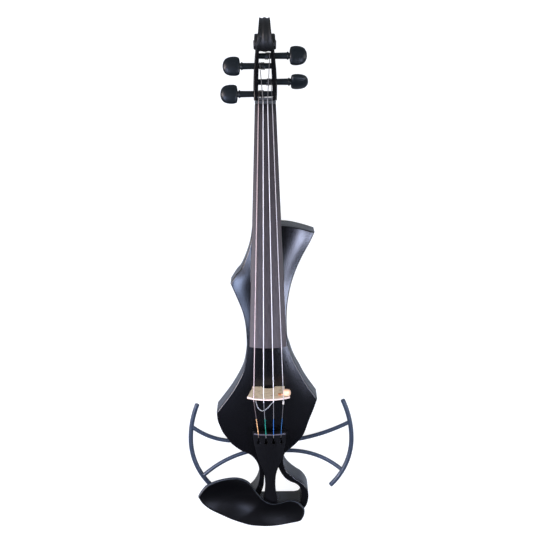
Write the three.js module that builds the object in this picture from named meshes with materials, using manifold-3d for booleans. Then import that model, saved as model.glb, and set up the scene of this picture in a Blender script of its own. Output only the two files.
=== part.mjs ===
// An electric violin with an open lower frame, bent tube wings and a wide chin rest.
// It lies on its back: +Z points out of the front, +Y towards the scroll, +X to the highest string.
// The origin is on the back, under the middle of the bridge. All lengths are millimetres.
import * as THREE from "three";
import { mergeVertices } from "three/addons/utils/BufferGeometryUtils.js";
import Module from "manifold-3d";

const wasm = await Module();
wasm.setup();

// Driving dimensions
const stringLength = 328;
const bodyLength = 350;
const bodyHalfWidth = 60;
const ribHeight = 30;
const bellyEdge = 2;
const bellyArch = 5.5;
const legPlate = 6;
const stringHeight = { nut: 41.5, bridge: 73 };
const stringSpread = { nut: 14.6, bridge: 33.2, tail: 25.6 };
const clearance = 0.3;
const overrun = 2;
const mergeDistance = 1e-4;

// Outlines of the body, as shares of its half width and its length, from the bridge line.
// Each run is one smooth edge, and sharp corners lie between the runs.
const bodyRunShares = [
  [[-0.267, 0.546], [0.245, 0.546]],
  [[0.245, 0.546], [0.43, 0.543], [0.67, 0.533], [0.885, 0.521]],
  [[0.885, 0.521], [0.8, 0.49], [0.64, 0.439], [0.51, 0.387], [0.42, 0.334], [0.36, 0.261], [0.37, 0.167],
    [0.417, 0.133], [0.49, 0.095], [0.605, 0.057], [0.72, 0.019], [0.933, -0.035]],
  [[0.933, -0.035], [0.87, -0.068], [0.775, -0.11], [0.69, -0.152], [0.62, -0.173], [0.507, -0.194],
    [0.377, -0.213], [0.305, -0.225], [0.272, -0.241], [0.277, -0.261], [0.325, -0.283], [0.4, -0.299],
    [0.518, -0.316], [0.635, -0.33], [0.72, -0.349], [0.76, -0.371], [0.75, -0.396], [0.7, -0.418],
    [0.6, -0.434], [0.467, -0.4386]],
  [[0.467, -0.4386], [-0.5, -0.4386]],
  [[-0.5, -0.4386], [-0.633, -0.433], [-0.7, -0.42], [-0.667, -0.406], [-0.533, -0.391], [-0.383, -0.376],
    [-0.275, -0.354], [-0.21, -0.326], [-0.192, -0.296], [-0.21, -0.268], [-0.268, -0.246], [-0.37, -0.228],
    [-0.55, -0.213], [-0.713, -0.192], [-0.81, -0.17], [-0.893, -0.149], [-0.943, -0.128], [-0.985, -0.107],
    [-1, -0.078]],
  [[-1, -0.078], [-0.817, -0.037], [-0.678, -0.003], [-0.54, 0.039], [-0.462, 0.073], [-0.418, 0.117],
    [-0.402, 0.167], [-0.423, 0.222], [-0.473, 0.263], [-0.56, 0.303], [-0.69, 0.356]],
  [[-0.69, 0.356], [-0.582, 0.385], [-0.487, 0.405], [-0.38, 0.447], [-0.305, 0.492], [-0.267, 0.546]],
];
const windowRunShares = [
  [[0.017, -0.241], [-0.067, -0.248], [-0.113, -0.27], [-0.1, -0.3], [-0.113, -0.337], [-0.167, -0.366],
    [-0.235, -0.39], [-0.22, -0.4057]],
  [[-0.22, -0.4057], [0.5, -0.4057]],
  [[0.5, -0.4057], [0.6, -0.398], [0.625, -0.367], [0.595, -0.348], [0.518, -0.334], [0.4, -0.325],
    [0.303, -0.312], [0.227, -0.293], [0.178, -0.275], [0.117, -0.257], [0.017, -0.241]],
];
const shoulderShare = 0.546;
const endShare = -0.4386;
const barShare = -0.4057;
const outlineSteps = 2;
const shoulderY = shoulderShare * bodyLength;
const endY = endShare * bodyLength;
const barY = barShare * bodyLength;
const legTop = ribHeight + legPlate;
const archBlend = { low: -0.245 * bodyLength, high: -0.175 * bodyLength };
const archEase = { reach: 14, samples: 4, shoulderGap: 8.9, edgePower: 14, edgeLimit: 1.05 };
// Below the waist the belly is flatter: its edge stands higher by the lift
const flatBelly = { lift: 2.4, low: 0.17 * bodyLength, high: 0.36 * bodyLength };

// Fingerboard and neck
const board = { nutHalfWidth: 11.4, endHalfWidth: 20.7, bridgeGap: 57.8, edgeHeight: 4.5, crown: 42, hollow: 2.6 };
const action = { nut: 0.9, end: 4.8 };
const nut = { thickness: 3.3, overBoard: 0.4, sink: 5 };
const stringGap = 0.2;
const neckShape = { nutThickness: 15.5, heelThickness: 19, heelBottom: 0.4, footOverlap: 1, footLength: 61.5 };
const nutY = stringLength;
const boardTopY = nutY - nut.thickness - clearance;
const boardEndY = board.bridgeGap;
const boardLength = boardTopY - boardEndY;
const footEndY = shoulderY - neckShape.footLength;

// Pegbox and scroll
const pegbox = {
  length: 53, halfWidth: 12.4, cornerRadius: 2, topNut: 40.2, topEnd: 34, bottomNut: 17.5, bottomEnd: 11.5,
  windowNutHalf: 8, windowEndHalf: 6.2, windowLength: 51.6, throatTop: 36.4, throatRun: 4,
};
const pegboxWidthShares = [[0, 1], [0.22, 1.03], [0.42, 1.01], [0.62, 0.97], [0.82, 0.89], [1, 0.82]];
const scroll = {
  halfWidth: 9.3, tipHalfWidth: 5.7, eyeOffset: 6.6, eyeHeight: 26, eyeRadius: 7.3, eyeHalfWidth: 12.2,
  turnRadius: 11.5, turnHalfWidth: 10.6, reach: 27.4, front: 15.5, back: 15.5, throat: 8,
};

// Pegs: shaft, collar and oval head
const peg = {
  shaftRadius: 3.6, tipRadius: 3, collarRadius: 4.4, collarLength: 1.7, headLength: 18.7, headWidth: 20.6,
  headThickness: 9, headNeckRadius: 3.4, neckLength: 1.2, tipInset: 0.4, drop: 10.6,
};
const pegLayout = [
  { name: "g", side: -1, placeShare: 0.119, turn: 0, reach: 17.2 },
  { name: "e", side: 1, placeShare: 0.3565, turn: 40, reach: 15 },
  { name: "d", side: -1, placeShare: 0.6755, turn: 0, reach: 15.2 },
  { name: "a", side: 1, placeShare: 0.8735, turn: 0, reach: 15.8 },
];
const winding = { turns: 3, stepsPerTurn: 24, sides: 6, air: 0.5, leadIn: 1.15, gap: 0.25, start: 1.2 };

// Strings, from the lowest to the highest
const stringRadius = { g: 0.45, d: 0.42, a: 0.38, e: 0.32 };
const strings = [
  { name: "g", place: -1 / 2, radius: stringRadius.g },
  { name: "d", place: -1 / 6, radius: stringRadius.d },
  { name: "a", place: 1 / 6, radius: stringRadius.a },
  { name: "e", place: 1 / 2, radius: stringRadius.e },
];
const stringSides = 6;
const ballRadius = 1.6;
const sleeve = { radius: 1, length: 4.2, offset: 1.6, sides: 12 };

// Bridge, pickup and its lead
const bridge = { crownHalfWidth: 24, footHalfWidth: 18.6, footInner: 7.4, footHeight: 3, archHeight: 5.5,
  footThickness: 4.6, crownThickness: 1.5, crownRadius: 42, crownStep: 9 };
const pickup = { radius: 4.3, thickness: 6.2, x: 20.6, belowCrown: 5.5, sides: 24, tabLength: 5.5, tabHalfWidth: 2.6,
  tabThickness: 0.9 };
const pickupShares = [[1, 0], [1, 0.4], [0.94, 0.66], [0.8, 0.85], [0.55, 0.97], [0.25, 1]];
const lead = { radius: 0.45, sides: 6, steps: 34 };
const leadPoints = [
  [16.4, -1.1, 45], [12.5, -1.4, 55], [7.2, -1.9, 63.5], [3.6, -5.2, 66.2], [-2.5, -11.6, 66.4],
  [-7.6, -13.9, 66.2], [-11.8, -10.6, 65.6], [-13.9, -5.2, 63.8], [-14.2, -2.2, 58], [-14.4, -2, 48],
  [-15.2, -4.4, 42], [-16, -6.4, 37.6], [-16, -6.8, 33.2],
].map((p) => new THREE.Vector3(...p));
const leadHole = { radius: 1 };

// Tailpiece, its fret bar, and the loop that holds it
const tailpiece = { top: 44, endGap: 13.51, headHeight: 54.2, endHeight: 44, thickness: 4.6, arch: 3.6, centre: 0.9,
  halfWidth: 19.6, fretOffset: 3.6, fretWidth: 1.4, fretHeight: 1.1, keyholeOffset: 14.2, keyholeRadius: 2.1,
  slotHalfWidth: 0.85, slotLength: 7 };
const tailpieceLength = -endY - tailpiece.endGap - tailpiece.top;
const tailpieceWidthShares = [
  [0, 1], [0.06, 0.985], [0.19, 0.9], [0.38, 0.675], [0.5, 0.45], [0.58, 0.345], [0.71, 0.305], [0.82, 0.34],
  [0.91, 0.41], [0.97, 0.41], [1, 0.28],
];
const saddle = { halfWidth: 15, depth: 6, height: 2.4, inset: 0.6 };
const button = { radius: 6, length: 8.5, neckRadius: 3.4, neckLength: 3.6, pinRadius: 3.2, pinLength: 9, height: 19 };
const loop = { radius: 1, halfWidth: 2.7, sides: 6, steps: 36, reach: 6 };

// Chin rest and its clamp
const chinrest = { width: 123, depth: 62.8, centreX: -20, inset: 10.51, rim: 52, fall: 5, edge: 5.2, lip: 1.2,
  cupDepth: 9, throatDepth: 2.6, lobeDepth: 2.6, shell: 4.6 };
const chinrestY = endY + chinrest.inset;
const chinrestShares = [
  [-0.507, 0.316], [-0.444, 0.49], [-0.377, 0.567], [-0.301, 0.618], [-0.207, 0.652], [-0.132, 0.65],
  [-0.067, 0.609], [-0.02, 0.539], [0.016, 0.429], [0.054, 0.328], [0.091, 0.238], [0.147, 0.156],
  [0.203, 0.124], [0.26, 0.134], [0.317, 0.16], [0.373, 0.168], [0.43, 0.127], [0.467, 0.057], [0.491, -0.015],
  [0.493, -0.115], [0.476, -0.2], [0.448, -0.255], [0.353, -0.283], [0.259, -0.303], [0.163, -0.311],
  [0.068, -0.305], [-0.027, -0.283], [-0.121, -0.224], [-0.215, -0.151], [-0.309, -0.058], [-0.402, 0.04],
  [-0.467, 0.147], [-0.498, 0.24],
];
const chinrestStations = 44;
const hollowPower = 1.5;
const cupShares = { x: -0.235, y: 0.22, halfWidth: 0.31, halfDepth: 0.4 };
const throatShares = { x: 0.02, y: 0, halfWidth: 0.32, halfDepth: 0.31 };
const lobeShares = { x: 0.28, y: -0.07, halfWidth: 0.23, halfDepth: 0.25 };
const foot = { cork: 1.2, leftX: -34, leftWidth: 16, rightX: 24, rightWidth: 14, depth: 8 };
const clamp = { leftX: -32.5, rightX: -13.5, rodRadius: 1.5, barrelRadius: 3, barrelLength: 13, barrelBottom: 11,
  plate: 2, plateWidth: 6.4, footLength: 10, recess: 5.2, padThickness: 1.6, rest: 1.2, boreRadius: 1.9, sides: 16,
  rodEntry: 4, keyRadius: 0.9 };

// Wings: two bent tubes with two struts each
const wing = { tubeRadius: 2.7, height: 7, halfSpan: 95.4, waistShare: -0.2086, centreX: 2.6, turnDegrees: 1.2,
  upperRadius: 120, lowerRadius: 83, upperReach: 47.5, lowerReach: 60.5, sides: 10, steps: 16 };
const strut = { radius: 2.35, sides: 10, steps: 9 };
// Each strut bows from a place on its wing to a place in the body. The wing's share runs from -1 at its upper
// end to 1 at its lower end, the body's are of its half width and its length, and the bow's is of the strut.
const strutShares = {
  left_upper: { side: -1, wing: -0.408, body: [-0.467, -0.2093], bow: -0.1076 },
  left_lower: { side: -1, wing: 0.679, body: [-0.19, -0.2433], bow: 0.0772 },
  right_upper: { side: 1, wing: -0.406, body: [0.35, -0.2128], bow: 0.0478 },
  right_lower: { side: 1, wing: 0.646, body: [0.19, -0.25], bow: -0.1122 },
};

// Electronics in the back
const battery = { length: 48.5, width: 26.5, thickness: 17.5, clipLength: 5, terminalRadius: 3.2, terminalHeight: 1 };
const batteryBay = { centreX: 0, centreY: 48, slack: 1, depth: 22.4 };
const wireway = { lowX: -18, highX: -11, lowY: -26, highY: 21, low: 14, high: 20 };
const door = { thickness: 2.2, barrelRadius: 1.8, margin: 2.2, pinRadius: 0.7, pinOverlap: 3 };
const controlBay = { lowX: -29, highX: 31, highY: -25, lowY: -56, depth: 22.4 };
const panel = { ledge: 5, ledgeY: 2, sunk: 6, thickness: 2 };
const knob = { radius: 6.5, height: 4.6, shaftRadius: 1.5, shaftLength: 6, flutes: 18, fluteDepth: 0.5, recess: 0.9 };
const knobX = { volume: -19, tone: 0 };
const pot = { radius: 7.5, height: 6.6, bushRadius: 3.4, boreRadius: 1.85 };
const board2 = { thickness: 1.6, margin: 1, rightX: 18, gap: 0.4 };
const phonesJack = { x: 12.5, offsetY: 6, radius: 4, boreRadius: 1.8, bushRadius: 3, height: 6.6 };
const outputJack = { x: 25.2, height: 16.6, radius: 5, boreRadius: 3.3, length: 25, wall: 3, threadRadius: 4.4,
  flangeRadius: 5.6, flange: 1.6, recessRadius: 6.2, boreDepth: 22, recessLength: 30 };
const screw = { headRadius: 2.1, headHeight: 1.2, radius: 1.1, length: 9, spread: 11, sides: 14 };
const roundSides = 20;

// Materials
const blackLacquer = new THREE.MeshStandardMaterial({ color: 0x101114, roughness: 0.35, metalness: 0 });
const ebony = new THREE.MeshStandardMaterial({ color: 0x2a2526, roughness: 0.6, metalness: 0 });
const maple = new THREE.MeshStandardMaterial({ color: 0xd9c6a8, roughness: 0.6, metalness: 0 });
const boneWhite = new THREE.MeshStandardMaterial({ color: 0xc9c7c2, roughness: 0.5, metalness: 0 });
const steel = new THREE.MeshStandardMaterial({ color: 0xb9bcc2, roughness: 0.3, metalness: 1 });
const greyTube = new THREE.MeshStandardMaterial({ color: 0x3a4150, roughness: 0.45, metalness: 0.3 });
const blackPlastic = new THREE.MeshStandardMaterial({ color: 0x17181a, roughness: 0.5, metalness: 0 });
const greyCover = new THREE.MeshStandardMaterial({ color: 0x8f9296, roughness: 0.5, metalness: 0 });
const corkTan = new THREE.MeshStandardMaterial({ color: 0xb08a5c, roughness: 0.9, metalness: 0 });
const greenBoard = new THREE.MeshStandardMaterial({ color: 0x1f5a36, roughness: 0.5, metalness: 0 });

const violin = new THREE.Group();

// A named mesh in the violin, from a geometry.
function add(name, geometry, material) {
  const mesh = new THREE.Mesh(geometry, material);
  mesh.name = name;
  violin.add(mesh);
}

// A geometry as a solid that can be joined and cut.
function solid(geometry) {
  const bare = geometry.clone();
  bare.deleteAttribute("normal");
  bare.deleteAttribute("uv");
  const merged = mergeVertices(bare, mergeDistance);
  return new wasm.Manifold(new wasm.Mesh({
    numProp: 3,
    vertProperties: merged.attributes.position.array,
    triVerts: new Uint32Array(merged.index.array),
  }));
}

// A joined or cut solid as a geometry.
function geometryOf(manifold) {
  const mesh = manifold.getMesh();
  const stride = mesh.numProp;
  const positions = new Float32Array(mesh.numVert * 3);
  for (let i = 0; i < mesh.numVert; i += 1) {
    positions.set(mesh.vertProperties.subarray(i * stride, i * stride + 3), i * 3);
  }
  const geometry = new THREE.BufferGeometry();
  geometry.setAttribute("position", new THREE.BufferAttribute(positions, 3));
  geometry.setIndex(new THREE.BufferAttribute(mesh.triVerts, 1));
  geometry.computeVertexNormals();
  return geometry;
}

function union(...geometries) {
  return geometryOf(geometries.map(solid).reduce((sum, piece) => sum.add(piece)));
}

function cut(geometry, ...tools) {
  return geometryOf(tools.map(solid).reduce((rest, tool) => rest.subtract(tool), solid(geometry)));
}

function mix(a, b, share) {
  return a + (b - a) * share;
}

function smooth(low, high, value) {
  return THREE.MathUtils.smoothstep(value, low, high);
}

// The value at a share along a table of [share, value] rows.
function along(table, share) {
  const last = table[table.length - 1];
  if (share >= last[0]) return last[1];
  const next = table.findIndex((row) => row[0] > share);
  if (next <= 0) return table[0][1];
  const [shareA, valueA] = table[next - 1];
  const [shareB, valueB] = table[next];
  return mix(valueA, valueB, (share - shareA) / (shareB - shareA));
}

// A closed skin over rings of points, with a fan over the first and the last ring.
function loft(rings) {
  const count = rings[0].length;
  const points = rings.flat();
  const faces = [];
  for (let r = 0; r + 1 < rings.length; r += 1) {
    for (let i = 0; i < count; i += 1) {
      const a = r * count + i;
      const b = r * count + ((i + 1) % count);
      faces.push([a, b, b + count], [a, b + count, a + count]);
    }
  }
  const lastRing = (rings.length - 1) * count;
  for (const [start, ring, turned] of [[0, rings[0], true], [lastRing, rings[rings.length - 1], false]]) {
    const centre = ring.reduce((sum, p) => sum.add(p), new THREE.Vector3()).divideScalar(count);
    points.push(centre);
    for (let i = 0; i < count; i += 1) {
      const a = start + i;
      const b = start + ((i + 1) % count);
      faces.push(turned ? [b, a, points.length - 1] : [a, b, points.length - 1]);
    }
  }
  const volume = faces.reduce((sum, [a, b, c]) => {
    return sum + points[a].dot(new THREE.Vector3().crossVectors(points[b], points[c]));
  }, 0);
  const index = volume < 0 ? faces.map(([a, b, c]) => [a, c, b]) : faces;
  const geometry = new THREE.BufferGeometry().setFromPoints(points);
  geometry.setIndex(index.flat());
  return geometry;
}

// A round tube through every point of a route, mitred at the bends.
function sweep(route, radius, sides) {
  const rings = [];
  let side = new THREE.Vector3(1, 0, 0);
  route.forEach((point, i) => {
    const before = i > 0 ? point.clone().sub(route[i - 1]).normalize() : null;
    const after = i + 1 < route.length ? route[i + 1].clone().sub(point).normalize() : null;
    const run = (before && after ? before.clone().add(after) : before ?? after).normalize();
    const spread = before ? radius / Math.max(run.dot(before), 0.5) : radius;
    side = side.clone().addScaledVector(run, -side.dot(run)).normalize();
    const rise = new THREE.Vector3().crossVectors(run, side);
    const bend = before && after ? after.clone().sub(before) : new THREE.Vector3();
    const stretch = bend.length() > mergeDistance ? bend.normalize() : null;
    rings.push(Array.from({ length: sides }, (_, k) => {
      const angle = (k / sides) * 2 * Math.PI;
      const arm = side.clone().multiplyScalar(Math.cos(angle)).addScaledVector(rise, Math.sin(angle));
      if (stretch) arm.addScaledVector(stretch, arm.dot(stretch) * (spread / radius - 1));
      return point.clone().addScaledVector(arm, radius);
    }));
  });
  return loft(rings);
}

// A round tube along a smooth curve.
function tube(curve, radius, sides, steps) {
  const section = new THREE.Shape(Array.from({ length: sides }, (_, k) => {
    const angle = (k / sides) * 2 * Math.PI;
    return new THREE.Vector2(radius * Math.cos(angle), radius * Math.sin(angle));
  }));
  return new THREE.ExtrudeGeometry(section, { steps, bevelEnabled: false, extrudePath: curve });
}

// A box between two corners.
function block(low, high) {
  const size = high.map((value, i) => value - low[i]);
  return new THREE.BoxGeometry(...size).translate(...low.map((value, i) => value + size[i] / 2));
}

// A round bar along Z between two heights, centred at x and y.
function roundBar(x, y, low, high, radius, sides = roundSides) {
  const bar = new THREE.CylinderGeometry(radius, radius, high - low, sides);
  return bar.rotateX(Math.PI / 2).translate(x, y, (low + high) / 2);
}

// A round bar along Y between two places, centred at x and z.
function roundBarY(x, z, low, high, radius, sides = roundSides) {
  const bar = new THREE.CylinderGeometry(radius, radius, high - low, sides);
  return bar.translate(x, (low + high) / 2, z);
}

// A shape or path through runs of shares of the body.
function outlineOf(runs, Type) {
  const outline = new Type();
  runs.forEach((run, i) => {
    const points = run.map(([x, y]) => new THREE.Vector2(x * bodyHalfWidth, y * bodyLength));
    if (i === 0) outline.moveTo(points[0].x, points[0].y);
    if (points.length > 2) outline.splineThru(points.slice(1));
    else outline.lineTo(points[1].x, points[1].y);
  });
  return outline;
}

const bodyOutline = outlineOf(bodyRunShares, THREE.Shape);
bodyOutline.holes.push(outlineOf(windowRunShares, THREE.Path));
const bodyPoints = bodyOutline.getPoints(outlineSteps);

// The left and right edge of the body at a height along its length.
function spanAt(y) {
  const crossings = [];
  bodyPoints.forEach((p, i) => {
    const q = bodyPoints[(i + 1) % bodyPoints.length];
    if ((p.y - y) * (q.y - y) <= 0 && p.y !== q.y) crossings.push(mix(p.x, q.x, (y - p.y) / (q.y - p.y)));
  });
  return [Math.min(...crossings), Math.max(...crossings)];
}

// The belly's edges, eased along the body so that its arch has no kinks where the outline turns sharply.
function easedSpanAt(y) {
  const edges = [0, 0];
  let weights = 0;
  for (let k = -archEase.samples; k <= archEase.samples; k += 1) {
    const share = k / archEase.samples;
    const weight = Math.exp(-2 * share * share);
    const place = THREE.MathUtils.clamp(y + share * archEase.reach, archBlend.low, shoulderY - archEase.shoulderGap);
    spanAt(place).forEach((x, i) => { edges[i] += weight * x; });
    weights += weight;
  }
  return edges.map((x) => x / weights);
}

// Height of the belly's outer surface: arched over the body, flat over the legs and the bar.
function bellyHeight(x, y) {
  const [left, right] = easedSpanAt(y);
  const across = Math.abs(2 * x - left - right) / (right - left);
  const over = (across / archEase.edgeLimit) ** archEase.edgePower;
  const eased = across / (1 + over) ** (1 / archEase.edgePower);
  const lift = flatBelly.lift * (1 - smooth(flatBelly.low, flatBelly.high, y));
  const arched = ribHeight + bellyEdge + lift + (bellyArch - lift) * (1 - eased * eased);
  return mix(legTop, arched, smooth(archBlend.low, archBlend.high, y));
}

function extrudeOutline(outline, low, high) {
  const geometry = new THREE.ExtrudeGeometry(outline, {
    depth: high - low, bevelEnabled: false, curveSegments: outlineSteps,
  });
  return geometry.translate(0, 0, low);
}

// A slab whose top is the belly's surface, wider than the body.
function bellySlab() {
  const rows = 26;
  const columns = 10;
  const low = { x: -bodyHalfWidth - overrun, y: endY - overrun };
  const high = { x: bodyHalfWidth + overrun, y: shoulderY + overrun };
  const rings = Array.from({ length: rows + 1 }, (_, r) => {
    const y = mix(low.y, high.y, r / rows);
    const top = Array.from({ length: columns + 1 }, (_unused, c) => {
      const x = mix(low.x, high.x, c / columns);
      return new THREE.Vector3(x, y, bellyHeight(x, y));
    });
    return [...top, new THREE.Vector3(high.x, y, ribHeight), new THREE.Vector3(low.x, y, ribHeight)];
  });
  return loft(rings);
}

// Strings: height of the plane through the nut and the bridge, and a string's place across
function stringZ(y) {
  return mix(stringHeight.bridge, stringHeight.nut, y / stringLength);
}

function arcDrop(x) {
  return board.crown - Math.sqrt(board.crown ** 2 - x ** 2);
}

// Fingerboard
function boardHalfWidth(y) {
  return mix(board.endHalfWidth, board.nutHalfWidth, (y - boardEndY) / boardLength);
}

function boardTop(y) {
  return stringZ(y) - mix(action.end, action.nut, (y - boardEndY) / boardLength);
}

function boardBottom(y) {
  return boardTop(y) - arcDrop(boardHalfWidth(y)) - board.edgeHeight;
}

function fingerboard() {
  const arcSteps = 8;
  const hollowSteps = 4;
  const gluedFrom = footEndY - board.edgeHeight;
  const places = [boardEndY, gluedFrom - board.edgeHeight, gluedFrom, boardTopY];
  return loft(places.map((y, i) => {
    const half = boardHalfWidth(y);
    const hollow = i < 2 ? board.hollow : 0;
    const top = Array.from({ length: arcSteps + 1 }, (_, k) => {
      const x = mix(-half, half, k / arcSteps);
      return new THREE.Vector3(x, y, boardTop(y) - arcDrop(x));
    });
    const bottom = Array.from({ length: hollowSteps + 1 }, (_, k) => {
      const across = mix(1, -1, k / hollowSteps);
      return new THREE.Vector3(across * half, y, boardBottom(y) + hollow * (1 - across * across));
    });
    return [...top, ...bottom];
  }));
}

// Neck shaft with its heel against the body's shoulder. The drop shares lead from the shaft to the heel's foot.
const heelDropShares = [[0, 1], [0.03, 0.97], [0.06, 0.84], [0.09, 0.6], [0.13, 0.3], [0.18, 0.1], [0.25, 0.02],
  [0.34, 0], [0.6, 0], [1, 0]];

function neckTop(y) {
  return boardBottom(Math.min(y, boardTopY)) - clearance;
}

function neckShaft() {
  const steps = 10;
  const start = shoulderY + clearance;
  const end = nutY + clearance;
  return loft(heelDropShares.map(([share, drop]) => {
    const y = mix(start, end, share);
    const shaft = neckTop(y) - mix(neckShape.heelThickness, neckShape.nutThickness, share);
    const bottom = mix(shaft, neckShape.heelBottom, drop);
    const half = boardHalfWidth(Math.min(y, boardTopY)) - clearance;
    const roundness = mix(1, 0.62, drop);
    return Array.from({ length: steps + 1 }, (_, k) => {
      const angle = (k / steps) * Math.PI;
      const x = half * Math.sign(Math.cos(angle)) * Math.abs(Math.cos(angle)) ** roundness;
      const z = mix(neckTop(y), bottom, Math.abs(Math.sin(angle)) ** roundness);
      return new THREE.Vector3(x, y, z);
    });
  }));
}

function neckFoot(grow, low) {
  const places = [footEndY - grow, shoulderY + overrun];
  return loft(places.map((y, i) => {
    const half = boardHalfWidth(y) + grow + (i === 0 ? neckShape.footOverlap : 0);
    const top = neckTop(y) + (grow > 0 ? board.edgeHeight : 0);
    return [[-half, low], [half, low], [half, top], [-half, top]].map(([x, z]) => new THREE.Vector3(x, y, z));
  }));
}

// Pegbox
function pegboxHalfWidth(y) {
  return along(pegboxWidthShares, (y - nutY) / pegbox.length) * pegbox.halfWidth;
}

function windowHalfWidth(y) {
  return mix(pegbox.windowNutHalf, pegbox.windowEndHalf, (y - nutY) / pegbox.windowLength);
}

function pegboxTop(y) {
  return mix(pegbox.topNut, pegbox.topEnd, (y - nutY) / pegbox.length);
}

function pegboxBottom(y) {
  return mix(pegbox.bottomNut, pegbox.bottomEnd, (y - nutY) / pegbox.length);
}

function cornerRing(y, half, low, high, radius) {
  const cornerSteps = 2;
  const corners = [[half, high, 0], [-half, high, 1], [-half, low, 2], [half, low, 3]];
  return corners.flatMap(([x, z, quarter]) => Array.from({ length: cornerSteps + 1 }, (_, k) => {
    const angle = (quarter + k / cornerSteps) * (Math.PI / 2);
    const cx = x - Math.sign(x) * radius;
    const cz = z === high ? z - radius : z + radius;
    return new THREE.Vector3(cx + radius * Math.cos(angle), y, cz + radius * Math.sin(angle));
  }));
}

function pegboxBlock() {
  const places = [0, 0.22, 0.42, 0.62, 0.82, 1.02];
  return loft(places.map((share) => {
    const y = nutY + share * pegbox.length;
    return cornerRing(y, pegboxHalfWidth(y), pegboxBottom(y), pegboxTop(y), pegbox.cornerRadius);
  }));
}

// The opening between the cheeks, with a sloping throat behind the nut.
function pegboxWindow() {
  const end = nutY + pegbox.windowLength;
  const profile = [
    [nutY - clearance, pegbox.topNut + overrun], [nutY - clearance, pegbox.throatTop],
    [nutY + pegbox.throatRun, 0], [end, 0], [end, pegbox.topNut + overrun],
  ];
  return loft([-1, 1].map((side) => profile.map(([y, z]) => {
    return new THREE.Vector3(side * windowHalfWidth(y), y, z);
  })));
}

// Scroll: a volute seen from the side, drawn in towards its tip, with round eyes
const voluteShares = [
  [-1, 0.1, "throat"], [-0.86, 0.56, "front"], [-0.4, 0.92, "front"], [0.08, 1, "front"], [0.45, 0.9, "front"],
  [0.78, 0.62, "front"], [0.95, 0.3, "front"], [1, 0, "front"], [0.94, -0.34, "back"], [0.75, -0.68, "back"],
  [0.42, -0.93, "back"], [0, -1, "back"], [-0.5, -0.97, "back"], [-1, -0.92, "back"],
];

function volute() {
  const eyeY = nutY + pegbox.length + scroll.eyeOffset;
  const outline = new THREE.Shape(voluteShares.map(([along_, up, way]) => {
    const reach = along_ > 0 ? scroll.reach : scroll.throat;
    const rise = way === "back" ? scroll.back : scroll.front;
    return new THREE.Vector2(eyeY + along_ * reach, scroll.eyeHeight + up * rise);
  }));
  const body = new THREE.ExtrudeGeometry(outline, { depth: 2, bevelEnabled: false, steps: 1 });
  const places = body.getAttribute("position");
  for (let i = 0; i < places.count; i += 1) {
    const y = places.getX(i);
    const z = places.getY(i);
    const half = mix(scroll.halfWidth, scroll.tipHalfWidth, smooth(0, 1, (y - eyeY) / scroll.reach));
    places.setXYZ(i, (places.getZ(i) - 1) * half, y, z);
  }
  const turn = eyeDisc(eyeY, scroll.turnRadius, scroll.turnHalfWidth);
  const eye = eyeDisc(eyeY, scroll.eyeRadius, scroll.eyeHalfWidth);
  return union(body, turn, eye);
}

function eyeDisc(y, radius, half) {
  const disc = new THREE.CylinderGeometry(radius, radius, half * 2, roundSides);
  return disc.rotateZ(Math.PI / 2).translate(0, y, scroll.eyeHeight);
}

// Pegs
function pegFrame({ side, placeShare, turn, reach }) {
  const y = nutY + placeShare * pegbox.length;
  return { side, turn, reach, y, z: pegboxTop(y) - peg.drop, cheek: pegboxHalfWidth(y) };
}

function pegRadius(distance, frame) {
  const length = 2 * frame.cheek + frame.reach;
  return mix(peg.tipRadius, peg.shaftRadius, (distance + frame.cheek) / length);
}

function pegShaft(frame, grow, longer) {
  const head = frame.cheek + frame.reach;
  const tip = -frame.cheek + peg.tipInset - longer;
  const collar = head - peg.neckLength - peg.collarLength;
  const shaft = pegRadius(collar, frame) + grow;
  const profile = grow > 0
    ? [[0, tip], [peg.tipRadius + grow, tip], [shaft, collar], [0, collar]]
    : [[0, tip], [peg.tipRadius, tip], [shaft, collar], [peg.collarRadius, collar + peg.collarLength * 0.25],
      [peg.collarRadius, collar + peg.collarLength * 0.8], [peg.headNeckRadius, head - peg.neckLength],
      [peg.headNeckRadius, head + peg.neckLength], [0, head + peg.neckLength]];
  const lathe = new THREE.LatheGeometry(profile.map(([x, y]) => new THREE.Vector2(x, y)), roundSides / 2);
  return lathe.rotateZ(-Math.PI / 2);
}

// The head's outline and thickness, from its collar to its tip
const headShares = [[0, 0.5, 0.7], [0.03, 0.78, 0.86], [0.09, 0.91, 0.96], [0.25, 0.99, 1], [0.5, 0.985, 0.97],
  [0.7, 0.9, 0.87], [0.84, 0.75, 0.74], [0.93, 0.53, 0.54], [0.985, 0.28, 0.3], [1, 0.1, 0.14]];

function pegHead(frame) {
  const sides = 14;
  const start = frame.cheek + frame.reach;
  const rings = headShares.map(([share, wide, thick]) => Array.from({ length: sides }, (_, k) => {
    const angle = (k / sides) * 2 * Math.PI;
    const y = (peg.headWidth / 2) * wide * Math.cos(angle);
    const z = (peg.headThickness / 2) * thick * Math.sin(angle);
    return new THREE.Vector3(start + share * peg.headLength, y, z);
  }));
  return loft(rings).rotateX(THREE.MathUtils.degToRad(frame.turn));
}

function placePeg(geometry, frame) {
  return geometry.rotateZ(frame.side > 0 ? 0 : Math.PI).translate(0, frame.y, frame.z);
}

// A string's turns on its peg, wound away from the cheek, and the least gap between turns
function windingRoute(frame, string) {
  const run = runPlace(frame);
  const pitch = 2 * string.radius + winding.air;
  const steps = winding.turns * winding.stepsPerTurn;
  return Array.from({ length: steps + 1 }, (_, i) => {
    const turn = i / winding.stepsPerTurn;
    const angle = turn * 2 * Math.PI;
    const distance = run - winding.leadIn - turn * pitch;
    const radius = pegRadius(distance, frame) + winding.gap + string.radius;
    return new THREE.Vector3(
      frame.side * distance,
      frame.y + radius * Math.sin(angle),
      frame.z + radius * Math.cos(angle),
    );
  });
}

function runPlace(frame) {
  return windowHalfWidth(frame.y) - winding.start;
}

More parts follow.
